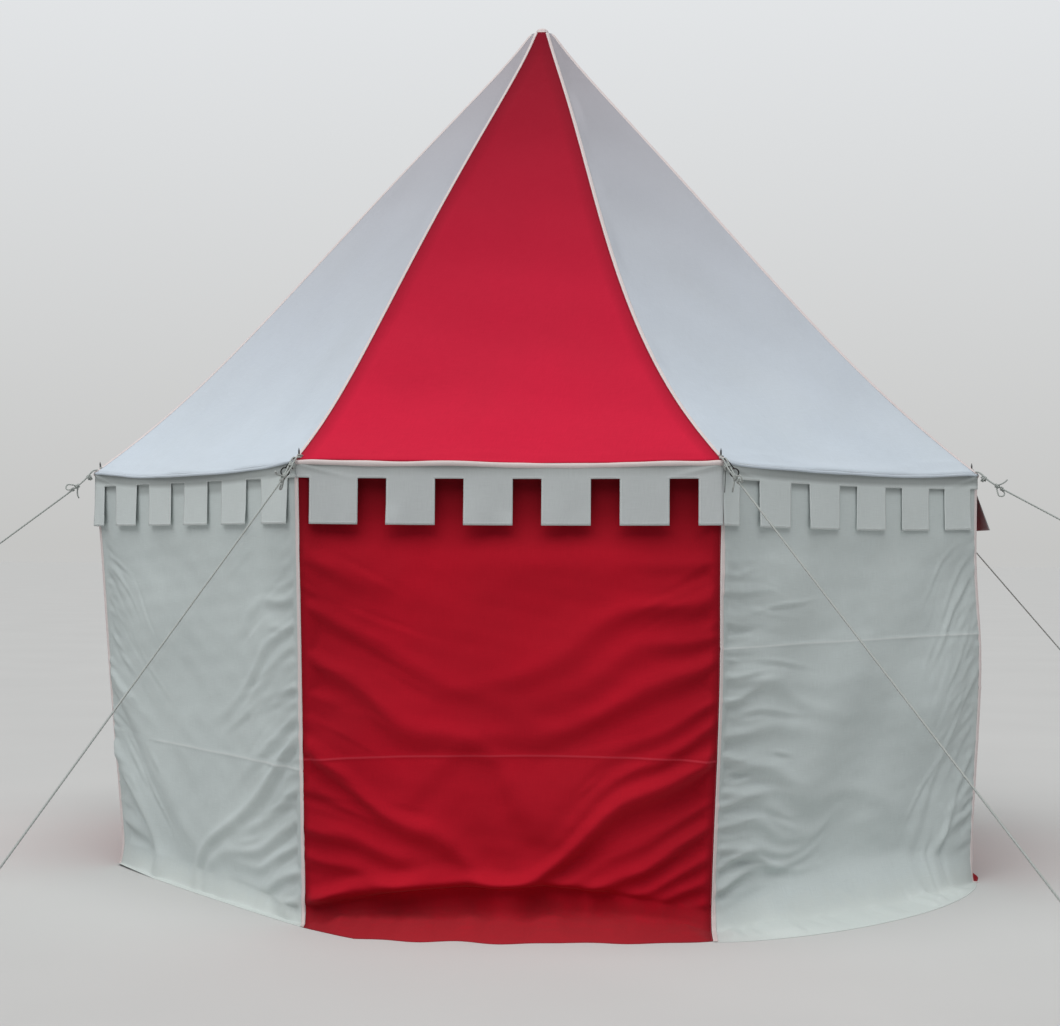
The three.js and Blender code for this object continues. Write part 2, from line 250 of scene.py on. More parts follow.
def link(name, vertices, faces, material):
    mesh = bpy.data.meshes.new(name)
    mesh.from_pydata([tuple(p) for p in vertices], [], faces)
    mesh.materials.append(material)
    mesh.shade_smooth()
    mesh.validate()
    piece = bpy.data.objects.new(name, mesh)
    bpy.context.scene.collection.objects.link(piece)
    return piece


def place_piece(piece, slot, *nodes):
    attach(piece, BODY)
    if nodes:
        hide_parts(*nodes)


def place_sheet(piece, k, slot, node):
    """A sheet of panel k, which takes the place of that panel's imported part named node."""
    place_piece(piece, slot, f"{node}_{k + 1}")


def place_parts(name, parts, material, slot, *nodes):
    """Makes one piece of several parts, each with its vertices and faces."""
    vertices, faces, base = [], [], 0
    for points, cells in parts:
        vertices.append(points)
        faces.extend(tuple(base + n for n in cell) for cell in cells)
        base += len(points)
    place_piece(link(name, np.concatenate(vertices), faces, material), slot, *nodes)


def set_uv(piece, name, coordinates):
    """coordinates has one pair for each vertex."""
    mesh = piece.data
    layer = mesh.uv_layers.new(name=name)
    corners = np.empty(len(mesh.loops), int)
    mesh.loops.foreach_get("vertex_index", corners)
    layer.data.foreach_set("uv", coordinates[corners].astype(np.float32).ravel())


def cloth(name, points, material, hem, keep=None, joint=None, thickness=CLOTH_THICKNESS):
    """A sheet from a grid of points. hem is each point's distance from the nearest edge, keep says
    which cells of the grid are cloth, and joint is 1 on a joint between two widths of cloth. The
    map called joint has that and the distance from the nearest side seam."""
    rows, columns = points.shape[:2]
    number = np.arange(rows * columns).reshape(rows, columns)
    cells = np.stack([number[:-1, :-1], number[1:, :-1], number[1:, 1:], number[:-1, 1:]], axis=-1)
    cells = cells.reshape(-1, 4) if keep is None else cells[keep]
    used = np.unique(cells)
    renumber = np.zeros(rows * columns, int)
    renumber[used] = np.arange(len(used))
    piece = link(name, points.reshape(-1, 3)[used], renumber[cells].tolist(), material)
    weave = np.stack([path_lengths(points, 1), path_lengths(points)], axis=-1)
    joint = np.zeros((rows, columns)) if joint is None else joint
    maps = {
        "weave": weave,
        "seam": np.stack([hem, weave.sum(axis=-1)], axis=-1),
        "joint": np.stack([joint, side_distance(points)], axis=-1),
    }
    for map_name, pairs in maps.items():
        set_uv(piece, map_name, pairs.reshape(-1, 2)[used])
    solid = piece.modifiers.new("thickness", "SOLIDIFY")
    solid.thickness = thickness
    solid.offset = -1
    return piece


def full_turn(count):
    """Angles spread evenly round a circle."""
    return np.arange(count) * 2 * math.pi / count


def close_rings(rings):
    """Vertices and faces of a bar from its rings of points, with both ends closed."""
    facets = len(rings[0])
    last = (len(rings) - 1) * facets
    faces = []
    for here in range(0, last, facets):
        for n in range(facets):
            m = (n + 1) % facets
            faces.append((here + n, here + m, here + facets + m, here + facets + n))
    faces.append(tuple(reversed(range(facets))))
    faces.append(tuple(range(last, last + facets)))
    return np.concatenate(rings), faces


def sweep(line, side, outlines):
    """Vertices and faces of a bar along a line. side points across its start and is carried along
    without twist, and outlines has the two coordinates of each ring's points."""
    rings = []
    for place, ahead, (x, y) in zip(line, unit(np.gradient(line, axis=0)), outlines):
        side = unit(side - ahead * (side @ ahead))
        rings.append(place + np.outer(x, side) + np.outer(y, np.cross(side, ahead)))
    return close_rings(rings)


def frame_about(direction):
    """A direction at length 1 and two unit vectors across it, the first level."""
    ahead = unit(np.asarray(direction, float))
    side = unit(np.cross(ahead, [1.0, 0, 0] if abs(ahead[2]) > 0.999 else [0, 0, 1.0]))
    return ahead, side, np.cross(side, ahead)


def tube(line, radii, facets):
    """A round bar along a line, with one radius or one for each point."""
    turns = full_turn(facets)
    sizes = np.broadcast_to(radii, len(line))
    outlines = [(size * np.cos(turns), size * np.sin(turns)) for size in sizes]
    return sweep(line, frame_about(line[1] - line[0])[1], outlines)


def laid_rope(points, radius, lay=ROPE_LAY):
    """A rope of twisted strands along a line of points."""
    points = np.asarray(points, float)
    lengths = path_lengths(points)
    run = np.linspace(0, lengths[-1], max(4, round(lengths[-1] / lay * ROPE_RINGS_A_TURN)))
    line = resampled(run, lengths, points)
    turns = full_turn(ROPE_FACETS)
    reach = radius * (0.86 + 0.14 * np.cos(STRANDS * turns))
    twists = [turns + 2 * math.pi * s / lay for s in run]
    outlines = [(reach * np.cos(twist), reach * np.sin(twist)) for twist in twists]
    return sweep(line, np.cross(line[1] - line[0], [0.3, 0.2, 1.0]), outlines)


def coil(centre, axis, radius, pitch, turns, steps=18):
    """Points of a coil round an axis."""
    ahead, side, up = frame_about(axis)
    angle = np.linspace(0, 2 * math.pi * turns, max(8, round(steps * turns)))
    along = (angle / (2 * math.pi) - turns / 2) * pitch
    across = np.outer(np.cos(angle), side) + np.outer(np.sin(angle), up)
    return centre + np.outer(along, ahead) + radius * across


def curve_through(points, count=40):
    """A smooth line through points."""
    p = np.asarray(points, float)
    p = np.concatenate([[2 * p[0] - p[1]], p, [2 * p[-1] - p[-2]]])
    line = []
    for a, b, c, d in zip(p[:-3], p[1:-2], p[2:-1], p[3:]):
        t = np.linspace(0, 1, max(3, count // (len(p) - 3)), endpoint=False)[:, None]
        square = 2 * a - 5 * b + 4 * c - d
        cube = 3 * b - a - 3 * c + d
        line.append(0.5 * (2 * b + (c - a) * t + square * t**2 + cube * t**3))
    return np.concatenate([*line, [p[-2]]])


# Materials


class Nodes:
    """Short words for building the node tree of a material or of the sky."""

    def __init__(self, owner, shader="Principled BSDF"):
        owner.use_nodes = True
        self.owner = owner
        self.tree = owner.node_tree
        self.shader = self.tree.nodes[shader]

    def give(self, node, inputs):
        """Gives a node its inputs by the names or numbers of its sockets."""
        for socket, value in inputs.items():
            target = node.inputs[socket]
            if isinstance(value, bpy.types.NodeSocket):
                self.tree.links.new(value, target)
            else:
                target.default_value = value

    def dress(self, **inputs):
        """Gives the shader its inputs and returns the material."""
        self.give(self.shader, {name.replace("_", " "): value for name, value in inputs.items()})
        return self.owner

    def add(self, kind, inputs=None, **settings):
        """Adds a node and returns its outputs."""
        node = self.tree.nodes.new(kind)
        for name, value in settings.items():
            setattr(node, name, value)
        self.give(node, inputs or {})
        return node.outputs

    def math(self, operation, *values):
        return self.add("ShaderNodeMath", dict(enumerate(values)), operation=operation)[0]

    def ramp(self, value, low, high, to_low=0.0, to_high=1.0):
        values = (value, low, high, to_low, to_high)
        return self.add("ShaderNodeMapRange", dict(enumerate(values)))[0]

    def mix(self, share, first, second, blend="MIX"):
        inputs = {0: share, 6: first, 7: second}
        return self.add("ShaderNodeMix", inputs, data_type="RGBA", blend_type=blend)[2]

    def noise(self, vector, scale, detail, roughness=0.5):
        inputs = {"Vector": vector, "Scale": scale, "Detail": detail, "Roughness": roughness}
        return self.add("ShaderNodeTexNoise", inputs)["Fac"]

    def fine_noise(self, vector, scale, detail, roughness=0.5):
        """Noise with a scale of its own along each axis."""
        stretched = self.add("ShaderNodeMapping", {"Vector": vector, "Scale": scale})[0]
        return self.noise(stretched, 1.0, detail, roughness)

    def bump(self, height, distance, strength, **normal):
        inputs = {"Height": height, "Distance": distance, "Strength": strength, **normal}
        return self.add("ShaderNodeBump", inputs)[0]

    def uv(self, name):
        return self.add("ShaderNodeUVMap", uv_map=name)[0]

    def parts(self, vector):
        """The three coordinates of a vector."""
        return self.add("ShaderNodeSeparateXYZ", {"Vector": vector})

    def place(self):
        return self.add("ShaderNodeTexCoord")["Object"]


def shade(colour, factor):
    return tuple(channel * factor for channel in colour[:3]) + (1.0,)


def material_nodes(name):
    return Nodes(bpy.data.materials.new(name))


# The weave, the inner edge of the doubled hem and the line of stitches, in from the cloth's edge,
# and how high the ground's splashes reach
THREADS_A_METRE = 650
SLUBS_A_METRE = 14
HEM_END = (0.0105, 0.0125)
STITCH_LINE = 0.006
STITCH_WIDTH = 0.0009
STITCH_LENGTH = 0.0032
SPLASH_TOP = 0.04
SPLASH_WHOLE = -0.06
SPLASH_RAGGED = 0.16
# The tone of the painted shade along the side seams, as a factor of the cloth's own tone
SEAM_SHADE = 0.25


def canvas(name, colour, hem_factor, dye, crown_shade_colour=None, top_shade=None, seam_shade_strips=()):
    """Woven cotton canvas: crossed threads with slubs, soft stains, crumples, a doubled hem with a
    line of stitches along each edge, and a pale line where two widths are joined. hem_factor
    multiplies the tone in the hem: above 1 it is paler, and below 1, on the red cloth, it is painted
    shade along the edges. dye has the thread's and the soil's tone. The crown's colour is the tone
    of a painted shade that darkens the roof towards the apex. The top shade is the tone of a painted
    shadow along its top edge, under the eave or the valance, how far down that reaches, where it
    ends, and its share. The seam shade strips have a share and a width for each strip of painted
    shade along the side seams."""
    n = material_nodes(name)
    thread, soil = dye
    weave, place = n.uv("weave"), n.place()
    distance, along, _ = n.parts(n.uv("seam"))
    joint, beside, _ = n.parts(n.uv("joint"))
    height = n.parts(place)[2]

    warp = n.fine_noise(weave, (THREADS_A_METRE, SLUBS_A_METRE, 1), 2.0)
    weft = n.fine_noise(weave, (SLUBS_A_METRE, THREADS_A_METRE, 1), 2.0)
    threads = n.math("MULTIPLY", n.math("ADD", warp, weft), 0.5)
    stains = n.noise(place, 1.7, 4.0, 0.6)
    blotches = n.noise(place, 5.5, 3.0, 0.55)
    crumple = n.noise(place, 13.0, 5.0, 0.62)

    tone = n.mix(n.ramp(threads, 0.36, 0.64), shade(colour, 0.93), shade(colour, 1.05))
    tone = n.mix(n.ramp(blotches, 0.3, 0.7, 0.0, 0.10), tone, shade(colour, 0.72))
    tone = n.mix(n.ramp(stains, 0.35, 0.75, 0.0, 0.12), tone, soil)
    # Painted shade: the roof grows darker towards the apex
    if crown_shade_colour:
        tone = n.mix(n.ramp(height, EAVE_HEIGHT + 0.1, CROWN_TOP), tone, crown_shade_colour)
    # Painted shadow along the sheet's top edge, under the eave or the valance's band
    if top_shade:
        top_shade_tone, whole, end, share = top_shade
        tone = n.mix(n.ramp(n.parts(weave)[1], end, whole, 0.0, share), tone, top_shade_tone)
    ragged = n.math("MULTIPLY", n.noise(place, 14.0, 5.0, 0.7), -SPLASH_RAGGED)
    splash = n.ramp(n.math("ADD", height, ragged), SPLASH_TOP, SPLASH_WHOLE, 0.0, 0.5)
    tone = n.mix(splash, tone, soil)
    # Painted shade in strips along the side seams
    for share, width in seam_shade_strips:
        tone = n.mix(n.ramp(beside, 0.0, width, share, 0.0), tone, shade(colour, SEAM_SHADE))

    # The doubled hem: paler on the white cloth, and on the red cloth darker, as painted shade along its
    # edges
    hem = n.ramp(distance, *HEM_END, 1.0, 0.0)
    tone = n.mix(hem, tone, shade((1, 1, 1), hem_factor), "MULTIPLY")
    dash = n.math("PINGPONG", along, STITCH_LENGTH)
    on_line = n.math("COMPARE", distance, STITCH_LINE, STITCH_WIDTH)
    stitch = n.math("MULTIPLY", on_line, n.ramp(dash, 0.0004, 0.0010))
    tone = n.mix(n.math("MULTIPLY", stitch, 0.8), tone, thread)
    tone = n.mix(n.ramp(joint, 0.70, 0.85, 0.0, 0.35), tone, thread)

    normal = n.bump(threads, 0.0006, 0.6)
    normal = n.bump(crumple, 0.006, 0.16, Normal=normal)
    normal = n.bump(hem, 0.0012, 0.7, Normal=normal)
    normal = n.bump(stitch, -0.0008, 0.8, Normal=normal)
    return n.dress(
        Base_Color=tone,
        Roughness=n.ramp(threads, 0.3, 0.7, 0.92, 0.78),
        Sheen_Weight=0.03,
        Sheen_Roughness=0.45,
        Specular_IOR_Level=0.10,
        Normal=normal,
    )


def rope_yarn(name, colour, soil):
    n = material_nodes(name)
    place = n.place()
    fibres = n.fine_noise(place, (900, 900, 900), 3.0)
    stains = n.noise(place, 6.0, 4.0)
    tone = n.mix(n.ramp(fibres, 0.35, 0.65), shade(colour, 0.78), shade(colour, 1.1))
    return n.dress(
        Base_Color=n.mix(n.ramp(stains, 0.45, 0.8, 0.0, 0.5), tone, soil),
        Roughness=n.ramp(fibres, 0.3, 0.7, 0.95, 0.8),
        Sheen_Weight=0.2,
        Normal=n.bump(fibres, 0.0008, 0.8),
    )


def pole_wood(name, colour, spike_colour, spike_foot):
    """Turned wood with its grain upright, and dark steel above spike_foot."""
    n = material_nodes(name)
    place = n.place()
    grain = n.fine_noise(place, (90, 90, 3), 6.0, 0.6)
    wander = n.fine_noise(place, (8, 8, 0.9), 3.0)
    tone = n.mix(n.ramp(grain, 0.3, 0.7), shade(colour, 0.62), shade(colour, 1.15))
    tone = n.mix(n.ramp(wander, 0.35, 0.75, 0.0, 0.5), tone, shade(colour, 0.55))
    is_spike = n.math("GREATER_THAN", n.parts(place)[2], spike_foot)
    pits = n.noise(place, 300.0, 5.0, 0.65)
    metal = n.mix(n.ramp(pits, 0.3, 0.7), spike_colour, shade(spike_colour, 1.6))
    return n.dress(
        Base_Color=n.mix(is_spike, tone, metal),
        Metallic=n.math("MULTIPLY", is_spike, 0.7),
        Roughness=n.ramp(grain, 0.3, 0.7, 0.62, 0.42),
        Normal=n.bump(grain, 0.0008, 0.6),
    )


def steel(name, colour, rust):
    n = material_nodes(name)
    place = n.place()
    pits = n.noise(place, 320.0, 5.0, 0.65)
    patches = n.noise(place, 38.0, 4.0, 0.6)
    return n.dress(
        Base_Color=n.mix(n.ramp(patches, 0.45, 0.66), colour, rust),
        Metallic=n.ramp(patches, 0.45, 0.66, 0.9, 0.25),
        Roughness=n.ramp(pits, 0.3, 0.7, 0.35, 0.7),
        Normal=n.bump(pits, 0.0006, 0.5),
    )


def floor_paint(name, colour):
    n = material_nodes(name)
    cloud = n.ramp(n.noise(n.place(), 0.8, 2.0), 0.3, 0.7)
    tone = n.mix(cloud, shade(colour, 0.985), shade(colour, 1.015))
    return n.dress(Base_Color=tone, Roughness=0.9, Specular_IOR_Level=0.1)


WHITE_THREAD = (0.78, 0.80, 0.79, 1)
RED_DYE = ((0.62, 0.06, 0.09, 1), (0.24, 0.022, 0.026, 1))
WHITE_DYE = (WHITE_THREAD, (0.60, 0.635, 0.60, 1))
TAPE_DYE = (WHITE_THREAD, (0.48, 0.40, 0.38, 1))

# Painted shade darkens the red roof towards the apex, beside its seams and in its hem; its bluer tint
# than the walls' red is painted sky reflection
RED_ROOF = canvas(
    "red_roof_canvas",
    (0.60, 0.012, 0.045, 1),
    0.75,
    RED_DYE,
    crown_shade_colour=(0.23, 0.003, 0.014, 1),
    seam_shade_strips=((0.45, 0.075),),
)
# Painted shade darkens the white roof towards the apex; its bluer tint than the white walls' is painted
# sky reflection
WHITE_ROOF = canvas(
    "white_roof_canvas",
    (0.57, 0.635, 0.70, 1),
    1.08,
    WHITE_DYE,
    crown_shade_colour=(0.37, 0.345, 0.37, 1),
)
# Painted shade darkens the red wall at its top behind the valance's notches, beside its side seams and
# in its hem
RED_WALL = canvas(
    "red_wall_canvas",
    (0.475, 0.006, 0.020, 1),
    0.85,
    RED_DYE,
    top_shade=((0.085, 0.002, 0.004, 1), 0.10, 0.40, 0.74),
    seam_shade_strips=((0.60, 0.040), (0.30, 0.45)),
)
# Painted shade darkens the white wall at its top under the valance's band, and beside its side seams
WHITE_WALL = canvas(
    "white_wall_canvas",
    (0.576, 0.634, 0.629, 1),
    1.03,
    WHITE_DYE,
    top_shade=((0.20, 0.215, 0.21, 1), 0.078, 0.100, 0.4),
    seam_shade_strips=((0.16, 0.30),),
)
# A darker copy of the white valance canvas, as painted shade on the valances over the red walls, with a
# painted shadow of the eave piping along its top
SHADED_VALANCE_OVER_RED = canvas(
    "shaded_valance_over_red_canvas",
    (0.51, 0.54, 0.545, 1),
    1.04,
    WHITE_DYE,
    top_shade=((0.25, 0.27, 0.25, 1), 0.0, 0.060, 0.5),
)
# Painted shadow of the roof's lip along the valance's top
VALANCE_OVER_WHITE = canvas(
    "valance_over_white_canvas",
    (0.62, 0.67, 0.665, 1),
    1.04,
    WHITE_DYE,
    top_shade=((0.13, 0.14, 0.135, 1), 0.040, 0.060, 0.5),
)
TAPE_CANVAS = canvas("tape_canvas", (0.71, 0.625, 0.615, 1), 1.05, TAPE_DYE)
ROPE_YARN = rope_yarn("rope_yarn", (0.42, 0.45, 0.43, 1), (0.35, 0.375, 0.355, 1))
DARK_CORD = rope_yarn("dark_cord", (0.075, 0.08, 0.078, 1), (0.05, 0.05, 0.045, 1))
POLE_WOOD = pole_wood("pole_wood", (0.42, 0.27, 0.14, 1), (0.10, 0.10, 0.10, 1), VALANCE_TOP + 0.001)
PEG_STEEL = steel("peg_steel", (0.20, 0.20, 0.20, 1), (0.16, 0.085, 0.05, 1))
DARK_STEEL = steel("dark_steel", (0.035, 0.035, 0.035, 1), (0.05, 0.035, 0.03, 1))


# Sewn tapes

# How far the roof's and the walls' tapes reach onto the red and the white cloth, how high they
# stand, and how far each wall's tape is shifted to the right
ROOF_TAPE = (0.005, 0.019, 0.0030)
WALL_TAPE = (0.002, 0.020, 0.0028)
WALL_TAPE_SHIFT = (0.009, 0, 0, 0, 0, 0, 0, 0)
TAPE_COLUMNS = 7


def tape_columns(j, onto_red, onto_white, height):
    """Distances across the seam at corner j, negative to the left, and how high the tape stands
    there: rounded, and down at its two edges. It lies mostly on the white cloth."""
    left, right = (onto_white, onto_red) if is_red(j) else (onto_red, onto_white)
    offsets = np.linspace(-left, right, TAPE_COLUMNS)
    from_middle = np.abs(np.linspace(-1, 1, TAPE_COLUMNS))
    return offsets, height * (1 - 0.7 * from_middle**3)


def place_tape(name, columns, offsets):
    grid = np.stack(columns, axis=1)
    edge = np.minimum(offsets - offsets[0], offsets[-1] - offsets)
    hem = np.broadcast_to(edge + TAPE_EDGE, grid.shape[:2])
    place_piece(cloth(name, grid, TAPE_CANVAS, hem, thickness=TAPE_THICKNESS), "canvas_white")


# Roof

ROOF_ROWS = 112
ROOF_COLUMNS = 49
CROWN_STEPS = (0, 0.3, 0.6, 0.85)
CROWN_BULGE = 0.003
ROOF_BILLOW = [Wobble(100 + k, 0.75) for k in range(SIDES)]
ROOF_PUCKER = [Wobble(120 + j, 0.055) for j in range(SIDES)]
EAVE_CREASE = [Wobble(140 + k, 0.9) for k in range(SIDES)]
BILLOW_HEIGHT = 0.004
PUCKER_HEIGHT = 0.0018
CREASE_HEIGHT = 0.0045
CREASE_PLACE = 0.062
CREASE_WANDER = 0.022
EAVE_LIP_RED = 0.004
EAVE_LIP_WHITE = 0.010
PIPING_RED = (0.0068, 0.0108)
PIPING_WHITE = (0.0042, 0.0060)
PIPING_ROWS = 81
PIPING_FACETS = 14
CAP_FACETS = 64
CAP_RIM = CROWN_TOP - 0.0045
CAP_BINDING = 0.009

# The cap's radius and height above its rim in millimetres
CAP_PROFILE = (
    (36, 0), (38.5, 2.5), (38, 6.5), (35, 8.5), (33.5, 12), (31.8, 18),
    (28, 24.5), (21.5, 29.5), (13, 32.5), (5, 33.5), (0.6, 33.6),
)


def seam_point(j, u):
    azimuth = corner_azimuth(j) + SEAM_WIND[wrap(j)] * np.sin(math.pi * u)
    sag = SEAM_SAG[wrap(j)] * np.sin(math.pi * u**SEAM_SAG_POWER)
    radius = EAVE_RADIUS * u + CROWN_RADIUS * np.exp(-u / CROWN_SPREAD)
    dip = CROWN_DIP * np.exp(-u / CROWN_DIP_SPREAD)
    return polar(radius, azimuth, APEX_HEIGHT - (APEX_HEIGHT - EAVE_HEIGHT) * u - sag - dip)


def roof_normal(azimuth):
    return polar(math.sin(ROOF_SLOPE), azimuth, math.cos(ROOF_SLOPE))


def roof_surface(k, u, v):
    """Points of the roof's outer face at arrays u (crown to eave) and v (left to right), with its
    edge standing out over the valance."""
    left, right = seam_point(k, u), seam_point(k + 1, u)
    points = between(left, right, v)
    points[..., 2] -= PANEL_DIP * np.sin(math.pi * u) * bow(v) + eave_droop(k, v) * u**4
    width = np.linalg.norm(right - left, axis=-1)
    from_seam = np.minimum(v, 1 - v) * width
    from_eave = (1 - u) * ROOF_LENGTH
    edge = smooth(from_seam, 0.020, 0.09)
    rise = BILLOW_HEIGHT * ROOF_BILLOW[wrap(k)]((v - 0.5) * width, u * ROOF_LENGTH) * edge
    for j, distance in ((k, v * width), (k + 1, (1 - v) * width)):
        pucker = PUCKER_HEIGHT * ROOF_PUCKER[wrap(j)](u * ROOF_LENGTH, 0.3 * distance)
        rise = rise + pucker * np.exp(-distance / 0.05) * smooth(distance, 0.020, 0.06)
    above = from_eave - CREASE_PLACE - CREASE_WANDER * EAVE_CREASE[wrap(k)](v * width, 0 * v)
    crease = ridge(above, 0.018) - 0.8 * ridge(above + 0.034, 0.02)
    rise = rise + CREASE_HEIGHT * crease * edge * smooth(width, 0.6, 1.4)
    lip = (EAVE_LIP_RED if is_red(k) else EAVE_LIP_WHITE) * np.sqrt(np.clip(bow(v), 0, 1))
    lip = lip * smooth(from_eave, 0.10, 0.0)
    azimuth = panel_azimuth(k)
    return points + roof_normal(azimuth) * rise[..., None] + polar(1, azimuth) * lip[..., None]


def roof_rows(count):
    """More rows near the crown and near the eave."""
    t = np.linspace(0, 1, count)
    return t**1.25 - 0.05 * np.sin(2 * math.pi * t) * t


def roof_panel(k):
    coarse = coarseness(k)
    share = np.linspace(0, 1, ROOF_COLUMNS // coarse + 1)
    u, v = np.meshgrid(roof_rows(ROOF_ROWS // coarse), share, indexing="ij")
    points = roof_surface(k, u, v)
    ring = between(*(polar(ROOF_HOLE_RADIUS, corner_azimuth(j), CROWN_TOP) for j in (k, k + 1)), share)
    crown = []
    for t in CROWN_STEPS:
        crown.append(ring + (points[0] - ring) * t + upward(CROWN_BULGE * math.sin(math.pi * t)))
    grid = np.concatenate([np.stack(crown), points])
    material, slot = (RED_ROOF, "canvas_red") if is_red(k) else (WHITE_ROOF, "canvas_white")
    piece = cloth(f"roof_cloth_{k + 1}", grid, material, edge_distance(grid))
    place_sheet(piece, k, slot, "roof_panel")


def roof_seam_tape(j):
    u = roof_rows(ROOF_ROWS)[2:]
    offsets, heights = tape_columns(j, *ROOF_TAPE)
    outward = roof_normal(corner_azimuth(j))
    columns = []
    for offset, rise in zip(offsets, heights):
        k = j if offset >= 0 else j - 1
        width = np.linalg.norm(seam_point(k + 1, u) - seam_point(k, u), axis=-1)
        share = np.abs(offset) / width
        columns.append(roof_surface(k, u, share if offset >= 0 else 1 - share) + outward * rise)
    place_tape(f"roof_seam_{j + 1}", columns, offsets)


def eave_piping(k):
    """A corded edge along the eave, between two corners."""
    v = np.linspace(0, 1, PIPING_ROWS)
    outward = polar(1, panel_azimuth(k))
    half_depth, half_height = PIPING_RED if is_red(k) else PIPING_WHITE
    centre = roof_surface(k, np.ones_like(v), v) - outward * 0.001 - upward(0.8 * half_height)
    turns = full_turn(PIPING_FACETS)
    soft = 1 + 0.07 * Wobble(160 + k, 0.30)(v * SIDE_LENGTH, 0 * v)
    out, up = np.outer(np.cos(turns), outward * half_depth), np.outer(np.sin(turns), upward(half_height))
    vertices, faces = close_rings([place + (out + up) * size for place, size in zip(centre, soft)])
    piece = link(f"eave_piping_{k + 1}", vertices, faces, TAPE_CANVAS if is_red(k) else WHITE_ROOF)
    along = np.repeat(v * SIDE_LENGTH, PIPING_FACETS)
    set_uv(piece, "weave", np.stack([along, np.tile(turns, PIPING_ROWS) * 0.009], axis=-1))
    set_uv(piece, "seam", np.stack([np.ones_like(along), along], axis=-1))
    place_piece(piece, "canvas_white")


def apex_cap():
    """A small canvas cap gathered over the pole's pin, with a bound rim."""
    turns = full_turn(CAP_FACETS)
    gathers = 0.035 * np.cos(11 * turns) + 0.02 * np.cos(7 * turns + 1.0)
    profile = np.array(CAP_PROFILE) / 1000
    rings = []
    for radius, rise in profile:
        reach = radius * (1 + gathers * (0.2 if rise < CAP_BINDING else 1.0))
        rings.append(polar(reach, turns, CAP_RIM + rise))
    piece = link("cap_canvas", *close_rings(rings), TAPE_CANVAS)
    around = np.tile(turns, len(rings)) * profile[0, 0]
    up = np.repeat(profile[:, 1], CAP_FACETS)
    set_uv(piece, "weave", np.stack([around, up], axis=-1))
    set_uv(piece, "seam", np.stack([up + TAPE_EDGE, around], axis=-1))
    place_piece(piece, "cap_canvas", "apex_cap")


# Valance

LEAST_NOTCH = 0.012
BAND_ROWS = 9
TAB_ROWS = 20
VALANCE_CELL = 0.010
RED_LOOSENESS = 1.0
WHITE_LOOSENESS = 0.35
CORNER_FOLD_HEIGHT = 0.007
TAB_TURN = 0.004
TAB_LIFT = 0.004
TAB_CURL = 0.006
VALANCE_STAND = 0.0025
LEAST_STAND = 0.0012
FLARED_TAB = (2, 0)
FLARED_TAB_LIFT = 0.050
FLARED_TAB_TURN = -0.025


def notches_of(k):
    notches = []
    per_side = NOTCHES / SIDES
    for n in range(math.floor(k * per_side), math.ceil((k + 1) * per_side) + 1):
        centre = n * NOTCH_PITCH - (k + 0.5) * SIDE_LENGTH
        start = max(centre - NOTCH_WIDTH / 2, -VALANCE_HALF)
        stop = min(centre + NOTCH_WIDTH / 2, VALANCE_HALF)
        if stop - start > LEAST_NOTCH:
            notches.append((start, stop))
    return notches


def hem_distance(s, d, notches):
    """Distance of points of the valance from its lower edge and the edges of its notches."""
    nearest = VALANCE_DEPTH - d
    for start, stop in notches:
        for wall in (start, stop):
            if abs(wall) < VALANCE_HALF - 1e-6:
                nearest = np.minimum(nearest, np.hypot(s - wall, np.minimum(d - BAND_DEPTH, 0)))
        beside = np.clip(start - s, 0, None) + np.clip(s - stop, 0, None)
        over = np.hypot(beside, BAND_DEPTH - d)
        nearest = np.where(d <= BAND_DEPTH, np.minimum(nearest, over), nearest)
    return nearest


def valance_hang(k, s, d, tabs):
    """How far the valance stands out: it hangs flush, with soft waves and a slanting fold at each
    corner, and each tab turns and curls a little in its own way. One tab has blown outward."""
    hang = d / VALANCE_DEPTH
    loose = RED_LOOSENESS if is_red(k) else WHITE_LOOSENESS
    wave = Wobble(200 + k, 0.42)(s, 0.35 * d)
    ripple = Wobble(220 + k, 0.13)(s, 0.2 * d)
    out = VALANCE_STAND + (0.002 + 0.004 * wave + 0.0014 * ripple) * hang * loose
    from_corner = VALANCE_HALF - np.abs(s)
    slant = ridge(d - 0.010 - 0.24 * from_corner, 0.011) * ridge(from_corner, 0.20)
    out = out + CORNER_FOLD_HEIGHT * slant * smooth(from_corner, 0.0, 0.03)
    rng = np.random.default_rng(240 + k)
    below = smooth(hang, 0.27, 1.0)
    for n, (start, stop) in enumerate(tabs):
        on_tab = (s >= start - 1e-6) & (s <= stop + 1e-6)
        turn = rng.normal(0, TAB_TURN) * loose
        lift, curl = abs(rng.normal(0, TAB_LIFT)) * loose, abs(rng.normal(0, TAB_CURL)) * loose
        x = (s - (start + stop) / 2) / max((stop - start) / 2, 1e-6)
        corner = rng.choice((-1, 1))
        curled = smooth(corner * x, 0.1, 1.0) * smooth(hang, 0.6, 1.0)
        bend = (turn * x + lift) * below + curl * curled
        if (k, n) == FLARED_TAB:
            swing = np.clip((d - BAND_DEPTH) / (VALANCE_DEPTH - BAND_DEPTH), 0, 1)
            bend = (FLARED_TAB_LIFT + FLARED_TAB_TURN * x) * swing
        out = np.where(on_tab, out + bend, out)
    return np.maximum(out, LEAST_STAND)


